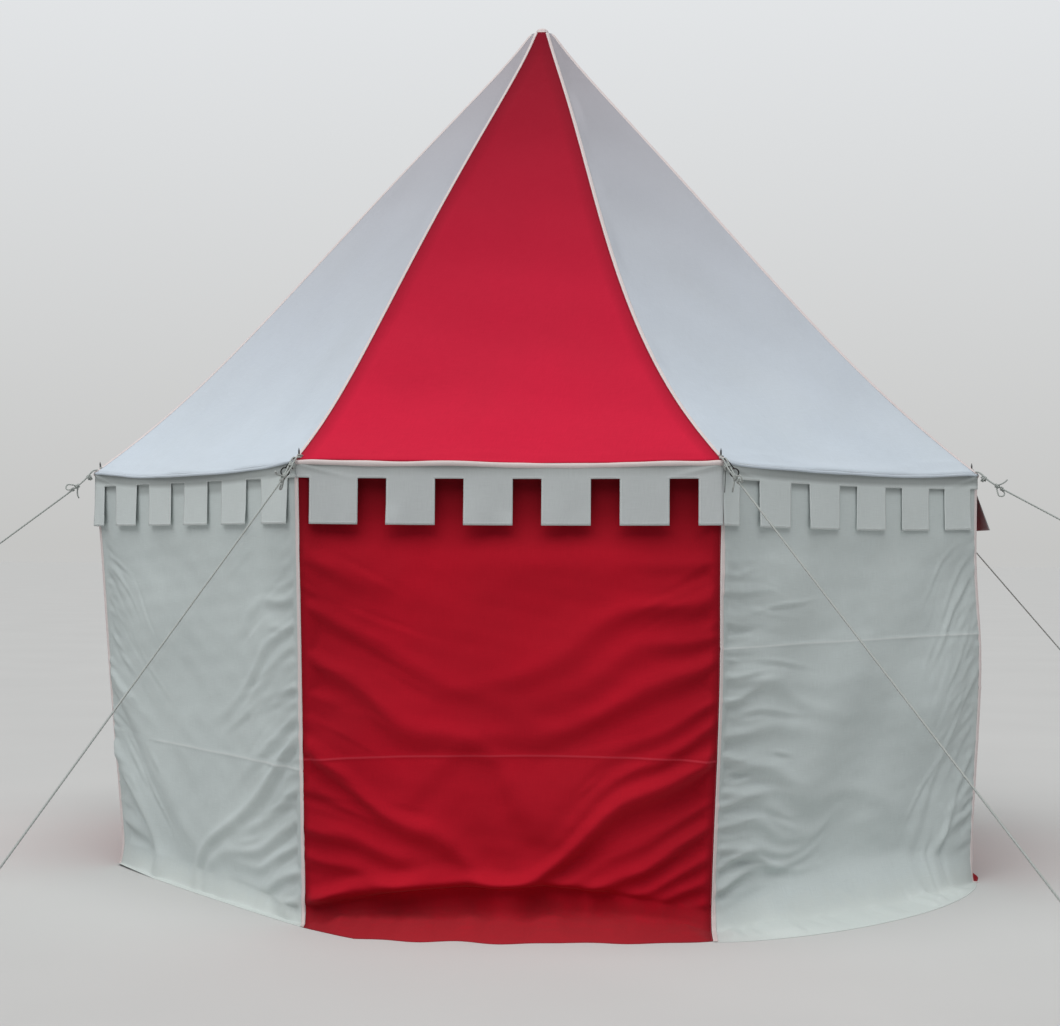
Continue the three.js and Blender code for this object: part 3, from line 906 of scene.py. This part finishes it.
def valance(k):
    notches = notches_of(k)
    stops = sorted({-VALANCE_HALF, VALANCE_HALF, *(x for pair in notches for x in pair)})
    spans = list(zip(stops, stops[1:]))
    cell = VALANCE_CELL * coarseness(k)
    columns = [np.linspace(a, b, max(2, round((b - a) / cell) + 1))[:-1] for a, b in spans]
    x = np.concatenate([*columns, [VALANCE_HALF]])
    band_rows = np.linspace(0, BAND_DEPTH, BAND_ROWS + 1)[:-1]
    depth = np.concatenate([band_rows, np.linspace(BAND_DEPTH, VALANCE_DEPTH, TAB_ROWS)])
    d, s = np.meshgrid(depth, x, indexing="ij")
    middle_s = ((x[:-1] + x[1:]) / 2)[None, :]
    middle_d = ((depth[:-1] + depth[1:]) / 2)[:, None]
    gap = np.zeros((len(depth) - 1, len(x) - 1), bool)
    for start, stop in notches:
        gap |= (middle_d > BAND_DEPTH) & (middle_s > start) & (middle_s < stop)
    tabs = [span for span in spans if span not in notches]

    reach = APOTHEM + valance_hang(k, s, d, tabs) - VALANCE_SOLID
    azimuth = panel_azimuth(k)
    points = polar(1, azimuth) * reach[..., None] + polar(1, azimuth + math.pi / 2) * s[..., None]
    droop = EAVE_DROOP[k] + (VALANCE_DROOP[k] - EAVE_DROOP[k]) * np.clip(d / BAND_DEPTH, 0, 1)
    points[..., 2] = VALANCE_TOP - droop * bow(s / (2 * VALANCE_HALF) + 0.5) - d
    material = SHADED_VALANCE_OVER_RED if is_red(k) else VALANCE_OVER_WHITE
    piece = cloth(f"valance_cloth_{k + 1}", points, material, hem_distance(s, d, notches), ~gap)
    place_sheet(piece, k, "canvas_white", "valance")


# Walls

WALL_ROWS = 190
FLAP_ROWS = 40
WALL_COLUMNS = 145
WALL_ROUNDING = 0.030

# The joint between two widths of cloth in each wall: its height, its fall to the left and where it
# fades in from the left, as shares of the wall, and the rows of points across it
JOINT_HEIGHT = (0.715, 1.21, 0.95, 0.80, 1.15, 0.90, 1.05, 0.669)
JOINT_FALL = (0.0, 0.0, 0.0, 0.0, 0.0, 0.0, 0.0, 0.020)
JOINT_FADE = (0.0, 0.0, 0.0, 0.0, 0.0, 0.0, 0.0, 0.30)
JOINT_STEPS = (-0.014, -0.008, -0.005, -0.0025, 0, 0.0025, 0.005, 0.008, 0.014)
JOINT_REACH = 0.012
JOINT_LIFT = 0.0024

# How far the wall's top is set back behind the valance's notches, and from where to where down the
# wall that fades
RED_SET_BACK = (0.045, 0.11, 0.24)
WHITE_SET_BACK = (0.004, 0.045, 0.11)

# Folds that start on a wall's left and right seams, in millimetres: height at the seam, fall for
# each metre away from it, length, half width and how far they stand out
LEFT_FOLDS = {
    0: (
        (1600, 300, 500, 45, 6), (1400, 500, 750, 50, 9), (1200, 660, 1000, 60, 14),
        (1020, 300, 350, 35, 5), (810, 800, 950, 60, 18), (660, 620, 550, 45, 8),
        (460, 420, 600, 50, 12), (330, 450, 600, 40, 9), (145, -20, 950, 36, 17),
    ),
    1: (
        (1470, 150, 400, 40, 6), (1340, 50, 450, 35, 5), (1100, 240, 600, 35, 9),
        (970, -180, 500, 32, 8), (840, 60, 500, 32, 9), (760, 360, 850, 40, 14),
        (610, 300, 500, 30, 8), (530, -100, 550, 30, 8), (450, 100, 600, 28, 9),
        (370, 380, 550, 28, 10), (270, -120, 600, 28, 10), (170, -160, 600, 28, 9),
    ),
    7: ((1000, 1000, 800, 100, 14), (600, 1150, 750, 90, 18), (230, 300, 350, 35, 12)),
}
RIGHT_FOLDS = {
    0: (
        (1580, 100, 350, 40, 6), (1430, 340, 850, 45, 11), (1270, 300, 550, 35, 7),
        (1160, 420, 1000, 55, 14), (1000, 600, 450, 35, 7), (900, 720, 600, 35, 9),
        (760, 700, 1500, 66, 27), (580, 750, 450, 35, 8), (480, 800, 1000, 45, 15),
        (340, 720, 600, 34, 10), (230, 550, 550, 30, 9),
    ),
    1: (
        (1100, 1800, 600, 50, 5), (720, 2100, 600, 45, 6),
        (520, 1200, 400, 34, 6), (340, 500, 550, 32, 8),
    ),
    7: (
        (1430, 300, 450, 24, 7), (1340, 620, 550, 24, 8), (1240, 600, 400, 24, 5),
        (1050, 300, 350, 22, 7), (930, 620, 450, 26, 7), (840, 780, 1000, 36, 14),
        (620, 500, 550, 26, 8), (500, 520, 650, 28, 10), (380, 420, 500, 24, 8),
        (260, 400, 450, 26, 9), (130, 300, 300, 24, 8),
    ),
}

# The folds of a seam that the photograph doesn't show: how many, the heights of the first and the
# last, how far each is from its even place, and the ranges of the other four measures, in metres
PLAIN_FOLDS = 9
PLAIN_FOLD_HEIGHTS = (1.50, 0.25)
PLAIN_FOLD_RANGES = ((-0.05, 0.05), (0.1, 0.8), (0.4, 1.1), (0.030, 0.060), (0.006, 0.016))

# The side walls' seams that make the tent's outline from the front, where the cloth is drawn tight
OUTLINE_SEAMS = {2: "left", 6: "right"}

# What the depths of each wall's folds are multiplied by
FOLD_FACTOR = (1.85, 1.30, 1.30, 1.30, 1.30, 1.30, 1.30, 1.35)

# The wrinkles of the walls: how many, how steeply they fall from either seam, how far from it they
# reach, and the greatest depth
CreaseSet = namedtuple("CreaseSet", "count left_fall right_fall reach depth")
CREASES = {
    0: CreaseSet(56, 0.50, 0.75, 0.55, 0.0055),
    1: CreaseSet(120, 0.12, 1.60, 0.40, 0.0078),
    7: CreaseSet(90, 0.90, 0.62, 0.45, 0.0062),
}
PLAIN_CREASES = CreaseSet(44, 0.45, 0.45, 0.45, 0.0050)

FOLD_WARP = 0.045
WALL_BILLOW = 0.007
WALL_RIPPLE = 0.0007
WALL_PUCKER = 0.0032
TIGHT_FOLD = 0.02

FLAP_BEND = 0.35
FLAP_LIE = 0.0010
ROLLED_FOOT = 0
ROLLED_SHOULDER_SWELL = 0.06
ROLL_BULGE = 0.042
ROLL_TUCK = 0.062
FLAP_HUMP = 0.034
FLAP_EDGE_WAVE = 0.018
FLAP_WAVE = 0.016
FLAP_RIPPLE = 0.006
PEEKING_FLAP = 2
PEEKING_REACH = 0.016

# Where a flap's end is drawn back to the wall or lifts off the ground, and over what share of the
# panel's width
FlapEnd = namedtuple("FlapEnd", "panel side back lift share")
FLAP_ENDS = (
    FlapEnd(0, "left", 0.152, 0.0, 0.14),
    FlapEnd(7, "left", 0.0, 0.012, 0.24),
    FlapEnd(6, "right", 0.0, 0.012, 0.16),
)


def wall_corner_radius(j, z):
    foot, fold = FOOT_RADIUS[wrap(j)], FOLD_HEIGHT[wrap(j)]
    straight = foot + (WALL_TOP_RADIUS - foot) * (z - fold) / (WALL_TOP - fold)
    waist = (WALL_TOP + fold) / 2
    swell = np.where(z > waist, smooth(z, WALL_FREE, waist), smooth(z, fold, waist))
    return straight + WAIST_SWELL[wrap(j)] * swell


def wall_hanging(k, t, v):
    """Points of the hanging cloth, t running from 0 at the eave to 1 at the fold."""
    ends = []
    for j in (k, k + 1):
        z = WALL_TOP + (FOLD_HEIGHT[wrap(j)] - WALL_TOP) * t
        ends.append(polar(wall_corner_radius(j, z), corner_azimuth(j), z))
    points = between(*ends, v)
    points[..., 2] += FOLD_RISE[k] * bow(v) * t**4 - eave_droop(k, v) * (1 - t) ** 6
    return points


def flap_profile(k, w, v):
    """Points of the ground flap, w running from 0 at the fold to 1 at the tip."""
    down, out = np.minimum(w / FLAP_BEND, 1), np.clip((w - FLAP_BEND) / (1 - FLAP_BEND), 0, 1)
    ends = []
    for j, reach in ((k, FLAP_START[k]), (k + 1, FLAP_END[k])):
        seam = corner_azimuth(j) + FLAP_SEAM_TURN[wrap(j)]
        travel = reach / math.cos(seam - panel_azimuth(k))
        shoulder = FLAP_SHOULDER[wrap(j)]
        run = shoulder * down + (travel - shoulder) * out
        ends.append(polar(FOOT_RADIUS[wrap(j)], corner_azimuth(j)) + polar(1, seam) * run[..., None])
    points = between(*ends, v)
    rolled = k == ROLLED_FOOT
    at_shoulder = ROLLED_SHOULDER_SWELL if rolled else FLAP_SHOULDER_SWELL
    push = at_shoulder * down + (1 - at_shoulder) * out
    swell = FLAP_SWELL[k] * np.clip(bow(v), 0, 1) ** FLAP_SWELL_POWER * push
    fold = FOLD_HEIGHT[k] * (1 - v) + FOLD_HEIGHT[wrap(k + 1)] * v + FOLD_RISE[k] * bow(v)
    middle = smooth(v, 0.0, 0.15) * smooth(v, 1.0, 0.85) if rolled else 0.0
    hump = FLAP_HUMP * middle
    height = FLAP_LIE + (fold - FLAP_LIE - hump) * (1 - down) + hump * (1 - out) ** 2
    if rolled:
        swell = swell - FLAP_SHOULDER[k] * middle * down * (1 - out)
        swell = swell + FLAP_EDGE_WAVE * Wobble(395, 0.45)(v * SIDE_LENGTH, 0 * v) * out * bow(v)
    if k == PEEKING_FLAP:
        swell = swell + PEEKING_REACH * ridge(v - 0.07, 0.05) * out
    for end in FLAP_ENDS:
        if end.panel == k:
            near = np.clip(1 - (v if end.side == "left" else 1 - v) / end.share, 0, 1)
            j = wrap(k if end.side == "left" else k + 1)
            along_seam = polar(1, corner_azimuth(j) + FLAP_SEAM_TURN[j])
            points = points - along_seam * (end.back * near * out)[..., None]
            height = height + end.lift * near * down
    points = points + polar(1, panel_azimuth(k)) * swell[..., None]
    points[..., 2] = height
    return points


def blurred(points, passes):
    """Rounds the grid's kinks down its columns, with its first and last rows held."""
    for _ in range(passes):
        points[1:-1] = 0.25 * points[:-2] + 0.5 * points[1:-1] + 0.25 * points[2:]
    return points


def joint_share(k):
    """Where the joint between two widths of cloth lies, as a share of the way down to the fold."""
    fold = (FOLD_HEIGHT[k] + FOLD_HEIGHT[wrap(k + 1)]) / 2
    return (WALL_TOP - JOINT_HEIGHT[k]) / (WALL_TOP - fold)


def wall_rows(k):
    fine = joint_share(k) + np.array(JOINT_STEPS) / WALL_TOP
    even = np.linspace(0, 1, WALL_ROWS // coarseness(k))
    even = even[np.abs(even - joint_share(k)) > 0.010]
    return np.sort(np.concatenate([even, fine]))


def folds_of(k, placed, seed):
    """The measures in metres of the folds of one seam of panel k, with plain folds of the same
    kinds and sizes where none are placed."""
    if k in placed:
        return np.array(placed[k]) / 1000
    rng = np.random.default_rng(seed + k)
    measures = [rng.uniform(low, high, PLAIN_FOLDS) for low, high in PLAIN_FOLD_RANGES]
    measures[0] += np.linspace(*PLAIN_FOLD_HEIGHTS, PLAIN_FOLDS)
    return np.stack(measures, axis=-1)


def side_folds(folds, from_seam, z):
    """How far the folds that start at one seam stand out."""
    rise = 0
    for height, fall, length, width, depth in folds:
        below = z - (height - fall * from_seam)
        spread = width * (0.7 + 0.6 * np.clip(from_seam / length, 0, 1.5))
        fade = ridge(from_seam, length) * smooth(from_seam, 0.0, 0.05)
        trough = 0.75 * ridge(below + 1.7 * spread, 1.2 * spread)
        rise = rise + depth * fade * (ridge(below, spread) - trough)
    return rise


def creases(k, left, right, z):
    """Short sharp wrinkles that lie along the folds, closest together near the side seams."""
    kind = CREASES.get(k, PLAIN_CREASES)
    rng = np.random.default_rng(500 + k)
    rise = 0
    for n in range(kind.count):
        from_seam, fall = (left, kind.left_fall) if n % 2 else (right, kind.right_fall)
        away, height = min(rng.exponential(0.40 * kind.reach), kind.reach), rng.uniform(0.12, 1.60)
        slope = math.atan(fall * rng.uniform(0.5, 1.3) + rng.normal(0, 0.12))
        length, width = rng.uniform(0.05, 0.20), rng.uniform(0.009, 0.017)
        depth = rng.uniform(0.0012, kind.depth) * rng.choice((1, 1, -0.7))
        x, y = from_seam - away, z - height
        along = x * math.cos(slope) - y * math.sin(slope)
        across = x * math.sin(slope) + y * math.cos(slope) + rng.uniform(-0.5, 0.5) * along**2
        shape = ridge(across, width) - 0.6 * ridge(across + 1.8 * width, 1.3 * width)
        rise = rise + depth * ridge(along, length) * shape
    return rise


def foot_roll(v, z):
    """The front wall's roll over its ground flap: it bulges at the left and is tucked in below."""
    fullest_left = smooth(v, 0.0, 0.05) * (0.35 + 0.65 * smooth(v, 0.52, 0.34))
    bulge = ROLL_BULGE * ridge(z - 0.130, 0.036) * fullest_left * smooth(v, 0.95, 0.70)
    tuck = ROLL_TUCK * ridge(z - 0.084, 0.020) * smooth(v, 0.0, 0.30) * smooth(v, 0.90, 0.64)
    return bulge - tuck


def wall_folds(k, t, v, width, joint):
    """How far the hanging cloth's folds stand out: those that run in from both side seams, short
    puckers along the seams, wrinkles, a soft billow and the raised joint. Behind the valance's
    notches the cloth is set back."""
    z = WALL_TOP * (1 - t) + 0.09 * t
    left, right = v * width, (1 - v) * width
    nearest = np.minimum(left, right)
    warp = FOLD_WARP * Wobble(300 + k, 0.9)(left, z) * smooth(nearest, 0.05, 0.4)
    rise = side_folds(folds_of(k, LEFT_FOLDS, 400), left, z + warp)
    rise = rise + side_folds(folds_of(k, RIGHT_FOLDS, 420), right, z + warp)
    rise = FOLD_FACTOR[k] * rise + WALL_BILLOW * Wobble(320 + k, 0.8)(left, z)
    rise = rise + WALL_RIPPLE * Wobble(330 + k, 0.22, 0.6)(left, z)
    rise = rise + creases(k, left, right, z + 0.5 * warp)
    if k == ROLLED_FOOT:
        rise = rise + foot_roll(v, z)
    pucker = Wobble(340 + k, 0.075)(0.3 * nearest, z + 0.4 * nearest)
    rise = rise + WALL_PUCKER * pucker * np.exp(-nearest / 0.08)
    rise = rise * smooth(nearest, 0.0, 0.03) * smooth(t, 0.12, 0.24)
    inward_room = 0.0015 + 0.5 * np.clip(nearest - 0.035, 0, None)
    rise = np.maximum(rise, -inward_room)
    if k in OUTLINE_SEAMS:
        from_outline = left if OUTLINE_SEAMS[k] == "left" else right
        rise = np.minimum(rise, TIGHT_FOLD * smooth(from_outline, 0.03, 0.5))
    depth, whole, end = RED_SET_BACK if is_red(k) else WHITE_SET_BACK
    recess = depth * smooth(t, 0.0, 0.04) * smooth(nearest, 0.03, 0.12) * smooth(t, end, whole)
    lift = JOINT_LIFT * smooth(joint, 0.2, 1.0) * (0.7 + 0.3 * Wobble(350 + k, 0.5)(left, 0 * z))
    return rise + lift - recess


def flap_folds(k, w, v, width):
    x = v * width
    wave = Wobble(360 + k, 0.34)(x, 0.1 * w)
    ripple = Wobble(380 + k, 0.12)(x, 0.05 * w)
    reach = FLAP_START[k] * (1 - v) + FLAP_END[k] * v + FLAP_SWELL[k] * bow(v)
    lift = FLAP_WAVE * smooth(wave, -0.4, 1.6) + FLAP_RIPPLE * smooth(ripple, -0.5, 1.5)
    lift = lift * smooth(reach, 0, 0.2)
    from_side = np.minimum(v, 1 - v) * width
    return lift * smooth(w, 0.15, 0.5) * smooth(w, 1.0, 0.72) * smooth(from_side, 0, 0.06)


def wall_grid(k):
    """Points of a whole wall panel, and 1 on the joint between two widths of cloth."""
    rows = wall_rows(k)
    coarse = coarseness(k)
    share = np.linspace(0, 1, WALL_COLUMNS // coarse)
    row, v = np.meshgrid(rows, share, indexing="ij")
    t = row + JOINT_FALL[k] * (0.5 - v) * bow(row)
    hanging = wall_hanging(k, t, v)
    width = np.linalg.norm(hanging[:, -1] - hanging[:, 0], axis=-1)[:, None]
    outward = polar(1, panel_azimuth(k))
    w, flap_v = np.meshgrid(np.linspace(0, 1, FLAP_ROWS // coarse)[1:], share, indexing="ij")
    passes = round(2 * (WALL_ROUNDING * WALL_ROWS / coarse / WALL_TOP) ** 2)
    grid = blurred(np.concatenate([hanging, flap_profile(k, w, flap_v)]), passes)
    near_joint = np.clip(1 - np.abs(row - joint_share(k)) * WALL_TOP / JOINT_REACH, 0, 1)
    near_joint = near_joint * smooth(v, JOINT_FADE[k] - 0.15, JOINT_FADE[k])
    rise = wall_folds(k, t, v, width, near_joint)
    grid[: len(rows)] += outward * rise[..., None]
    settled, leaves = (0.80, 0.30) if k == ROLLED_FOOT else (0.6, 0.0)
    grid[len(rows) :] += outward * (rise[-1] * smooth(w, settled, leaves))[..., None]
    grid[len(rows) :, :, 2] += flap_folds(k, w, flap_v, width[-1])
    joint = np.zeros(grid.shape[:2])
    joint[: len(rows)] = near_joint
    return grid, joint


def wall_panel(k, grid, joint):
    material, slot = (RED_WALL, "canvas_red") if is_red(k) else (WHITE_WALL, "canvas_white")
    piece = cloth(f"wall_cloth_{k + 1}", grid, material, edge_distance(grid), joint=joint)
    place_sheet(piece, k, slot, "wall_panel")


def wall_seam_tape(j, left_grid, right_grid):
    """A tape sewn down the corner between two walls, from behind the valance to the flap's tip."""
    offsets, heights = tape_columns(j, *WALL_TAPE)
    offsets = offsets + WALL_TAPE_SHIFT[j]
    centre = right_grid[:, 0]
    to_right = unit(right_grid[:, 2] - centre)
    beside = left_grid[:, -3] - left_grid[:, -1]
    run, left_run = path_lengths(centre), path_lengths(left_grid[:, -1])
    run, left_run = run / run[-1], left_run / left_run[-1]
    to_left = unit(resampled(run, left_run, beside))
    near_ground = smooth(centre[:, 2], 0.08, 0.01)[:, None]
    outward = polar(1, corner_azimuth(j)) + upward(1.0) * near_ground
    columns = []
    for offset, rise in zip(offsets, heights):
        side = to_right if offset >= 0 else to_left
        columns.append(centre + side * abs(offset) + outward * rise)
    place_tape(f"wall_seam_{j + 1}", columns, offsets)


# Ropes and fittings

# Places beside an eave corner, as for by_corner
SPIKE_FOOT = (-0.036, 0, 0.010)
ROPE_START = (0.009, 0, -0.014)
RING_CENTRE = (0.008, 0.046, -0.050)
HOOK_ROUTE = ((-0.034, 0, 0.006), (0.002, 0.010, 0.006), (0.008, 0.038, -0.026), (0.008, 0.048, -0.034))
CORD_ROUTE = (
    (-0.034, 0, 0.004), (0.004, 0, 0.002), (0.013, 0, -0.035),
    (0.010, 0.002, -0.080), (0.011, -0.001, -0.135),
)

# The knot's loop and hanging end: how far ahead of the knot, up or down, and to the side
KNOT_LOOP = (
    (0, 0.004, 0), (0.014, 0.020, 0.006), (0.034, 0.036, 0.010),
    (0.052, 0.026, 0.006), (0.044, 0.010, -0.004), (0.020, 0.007, -0.005),
)
KNOT_TAIL = ((0, 0.005, 0), (0.014, 0.018, 0.006), (0.026, 0.036, 0.009), (0.030, 0.052, 0.006))

# The peg's bend, outward from its foot and up, in millimetres, and its rounded end
PEG_ROUTE = ((0, 0), (0, 12), (7, 36), (16, 64), (28, 84), (44, 86), (52, 72), (50, 58))
PEG_TIP = (0.97, 0.88, 0.68, 0.25)


def peg_place(j):
    bearing = corner_azimuth(j) + ROPE_TURN[wrap(j)]
    foot = polar(EAVE_RADIUS, corner_azimuth(j)) + polar(ROPE_REACH[wrap(j)], bearing)
    return bearing, foot


def guy_rope(j):
    """A laid rope: doubled from the spike to a knot, then single to the peg. At odd corners the
    knot's loop stands up and its tail hangs, and at even corners the other way round."""
    spike, start = by_corner(j, *SPIKE_FOOT), by_corner(j, *ROPE_START)
    end = peg_place(j)[1] + upward(ROPE_FOOT_HEIGHT)
    ahead, side, up = frame_about(end - start)
    knot = start + ahead * DOUBLED_LENGTH
    ways = []
    for hand in (-1, 1):
        over_eave = start + side * 0.009 * hand + upward(0.020) - ahead * 0.004
        past_eave = start + side * 0.008 * hand + ahead * 0.04 + up * 0.006
        ways.append([spike + side * 0.010 * hand, over_eave, past_eave, knot + side * 0.003 * hand])
    loop_up = 1 if j % 2 else -1
    for route, way_up in ((KNOT_LOOP, loop_up), (KNOT_TAIL, -loop_up)):
        ways.append([knot + ahead * x + up * y * way_up + side * z for x, y, z in route])
    parts = [laid_rope([knot - ahead * 0.01, end], ROPE_RADIUS)]
    parts += [laid_rope(curve_through(way), FINE_ROPE, FINE_LAY) for way in ways]
    # Each turn of rope round the spike, the knot or the peg: its place, axis, radius, pitch and
    # turns, and the rope's radius and lay
    upright = upward(1.0)
    whippings = (
        (spike, upright, 0.0120, 0.0078, 3.6, FINE_ROPE, FINE_LAY),
        (start + ahead * 0.020, ahead, 0.0130, 0.0078, 2.6, FINE_ROPE, FINE_LAY),
        (knot, ahead, 0.0075, 0.0068, 3.2, 0.0040, FINE_LAY),
        (knot + ahead * 0.026, ahead, 0.0065, 0.0068, 1.8, 0.0038, FINE_LAY),
        (end + upward(0.006), upright, 0.0112, 0.0085, 2.7, 0.0042, ROPE_LAY),
        (end - ahead * 0.10, ahead, 0.0082, 0.0080, 3.4, 0.0040, ROPE_LAY),
    )
    parts += [laid_rope(coil(*shape), radius, lay) for *shape, radius, lay in whippings]
    place_parts(f"rope_laid_{j + 1}", parts, ROPE_YARN, "rope", f"guy_rope_{j + 1}")


def corner_ring(j, hand):
    """A dark steel ring that hangs from a hook beside the eave corner, to its left or right."""
    out, right, up = RING_CENTRE
    axis = polar(1, corner_azimuth(j)) - polar(0.35 * hand, corner_azimuth(j) + math.pi / 2)
    ring = coil(by_corner(j, out, right * hand, up), axis, RING_RADIUS, 0.0, 1.0, RING_STEPS)
    hook = curve_through([by_corner(j, out, right * hand, up) for out, right, up in HOOK_ROUTE])
    place_parts(f"corner_ring_{j + 1}", [tube(ring, RING_WIRE, WIRE_FACETS)], DARK_STEEL, "peg_steel")
    place_parts(f"corner_hook_{j + 1}", [tube(hook, HOOK_WIRE, WIRE_FACETS)], DARK_STEEL, "peg_steel")


def corner_cord(j):
    """A thin dark cord that hangs from the eave corner down over the valance."""
    way = curve_through([by_corner(j, *place) for place in CORD_ROUTE])
    place_parts(f"corner_cord_{j + 1}", [laid_rope(way, CORD_RADIUS, CORD_LAY)], DARK_CORD, "rope")


def peg(j):
    """A bent steel bar with a rounded end, driven in at the end of its rope."""
    bearing, foot = peg_place(j)
    line = curve_through([foot + polar(x / 1000, bearing, z / 1000) for x, z in PEG_ROUTE], PEG_STEPS)
    radii = np.full(len(line), PEG_RADIUS)
    radii[-len(PEG_TIP) :] *= PEG_TIP
    vertices, faces = tube(line, radii, PEG_FACETS)
    vertices[:, 2] = np.maximum(vertices[:, 2], 0.0)
    place_parts(f"peg_bar_{j + 1}", [(vertices, faces)], PEG_STEEL, "peg_steel", f"peg_{j + 1}")


def dress_poles():
    for name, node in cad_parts.items():
        if "pole" in name:
            node.data.materials.clear()
            node.data.materials.append(POLE_WOOD)


# Camera, light and floor

SUN_ANGLE = 70
SUN_STRENGTH = 2.85
SUN_PLACE = (-0.12, -0.38, 1.0)
SKY_STRENGTH = 0.22
SKY_LIGHT = (0.93, 0.96, 1.0, 1)
BACKDROP_LOW = (0.56, 0.56, 0.55, 1)
BACKDROP_HIGH = (0.80, 0.82, 0.84, 1)
BACKDROP_FADE = 0.35
FLOOR_PAINT = (0.54, 0.54, 0.53, 1)
FLOOR_HALF = 150.0
FLOOR_HEIGHT = -0.001


def make_camera():
    data = bpy.data.cameras.new("camera")
    data.sensor_fit = "HORIZONTAL"
    data.sensor_width = SENSOR_WIDTH
    data.lens = SENSOR_WIDTH * CAMERA_FOCAL_PIXELS / IMAGE_WIDTH
    data.clip_end = 2 * FLOOR_HALF
    camera = bpy.data.objects.new("camera", data)
    camera.matrix_world = Matrix.Translation(CAMERA_PLACE)
    for angle, axis in ((CAMERA_YAW, "Z"), (math.pi / 2 + CAMERA_PITCH, "X"), (CAMERA_ROLL, "Z")):
        camera.matrix_world = camera.matrix_world @ Matrix.Rotation(angle, 4, axis)
    bpy.context.scene.collection.objects.link(camera)
    bpy.context.scene.camera = camera


def make_light():
    """One broad soft light overhead, a dim even sky, and a pale backdrop that only the camera
    sees."""
    data = bpy.data.lights.new("overhead", "SUN")
    data.angle = math.radians(SUN_ANGLE)
    data.energy = SUN_STRENGTH
    light = bpy.data.objects.new("overhead", data)
    light.rotation_euler = Vector(SUN_PLACE).to_track_quat("Z", "Y").to_euler()
    bpy.context.scene.collection.objects.link(light)

    world = bpy.data.worlds.new("sky")
    bpy.context.scene.world = world
    n = Nodes(world, "Background")
    n.dress(Color=SKY_LIGHT, Strength=SKY_STRENGTH)
    direction = n.add("ShaderNodeTexCoord")["Generated"]
    tone = n.mix(n.ramp(n.parts(direction)[2], 0.0, BACKDROP_FADE), BACKDROP_LOW, BACKDROP_HIGH)
    seen = n.add("ShaderNodeBackground", {"Color": tone})[0]
    by_camera = n.add("ShaderNodeLightPath")["Is Camera Ray"]
    chosen = n.add("ShaderNodeMixShader", {0: by_camera, 1: n.shader.outputs[0], 2: seen})[0]
    n.give(n.tree.nodes["World Output"], {"Surface": chosen})


def make_floor():
    half = FLOOR_HALF
    corners = [(-half, -half, 0), (half, -half, 0), (half, half, 0), (-half, half, 0)]
    floor = link("floor", corners, [(0, 1, 2, 3)], floor_paint("floor_paint", FLOOR_PAINT))
    floor.location.z = FLOOR_HEIGHT


def main():
    bpy.context.scene.view_settings.view_transform = "Standard"
    make_camera()
    make_light()
    make_floor()
    walls = [wall_grid(k) for k in range(SIDES)]
    for k in range(SIDES):
        roof_panel(k)
        eave_piping(k)
        valance(k)
        wall_panel(k, *walls[k])
    for j in range(SIDES):
        roof_seam_tape(j)
        wall_seam_tape(j, walls[wrap(j - 1)][0], walls[j][0])
        guy_rope(j)
        peg(j)
    corner_ring(0, -1)
    corner_ring(1, 1)
    corner_cord(1)
    apex_cap()
    dress_poles()


main()
bpy.context.view_layer.update()
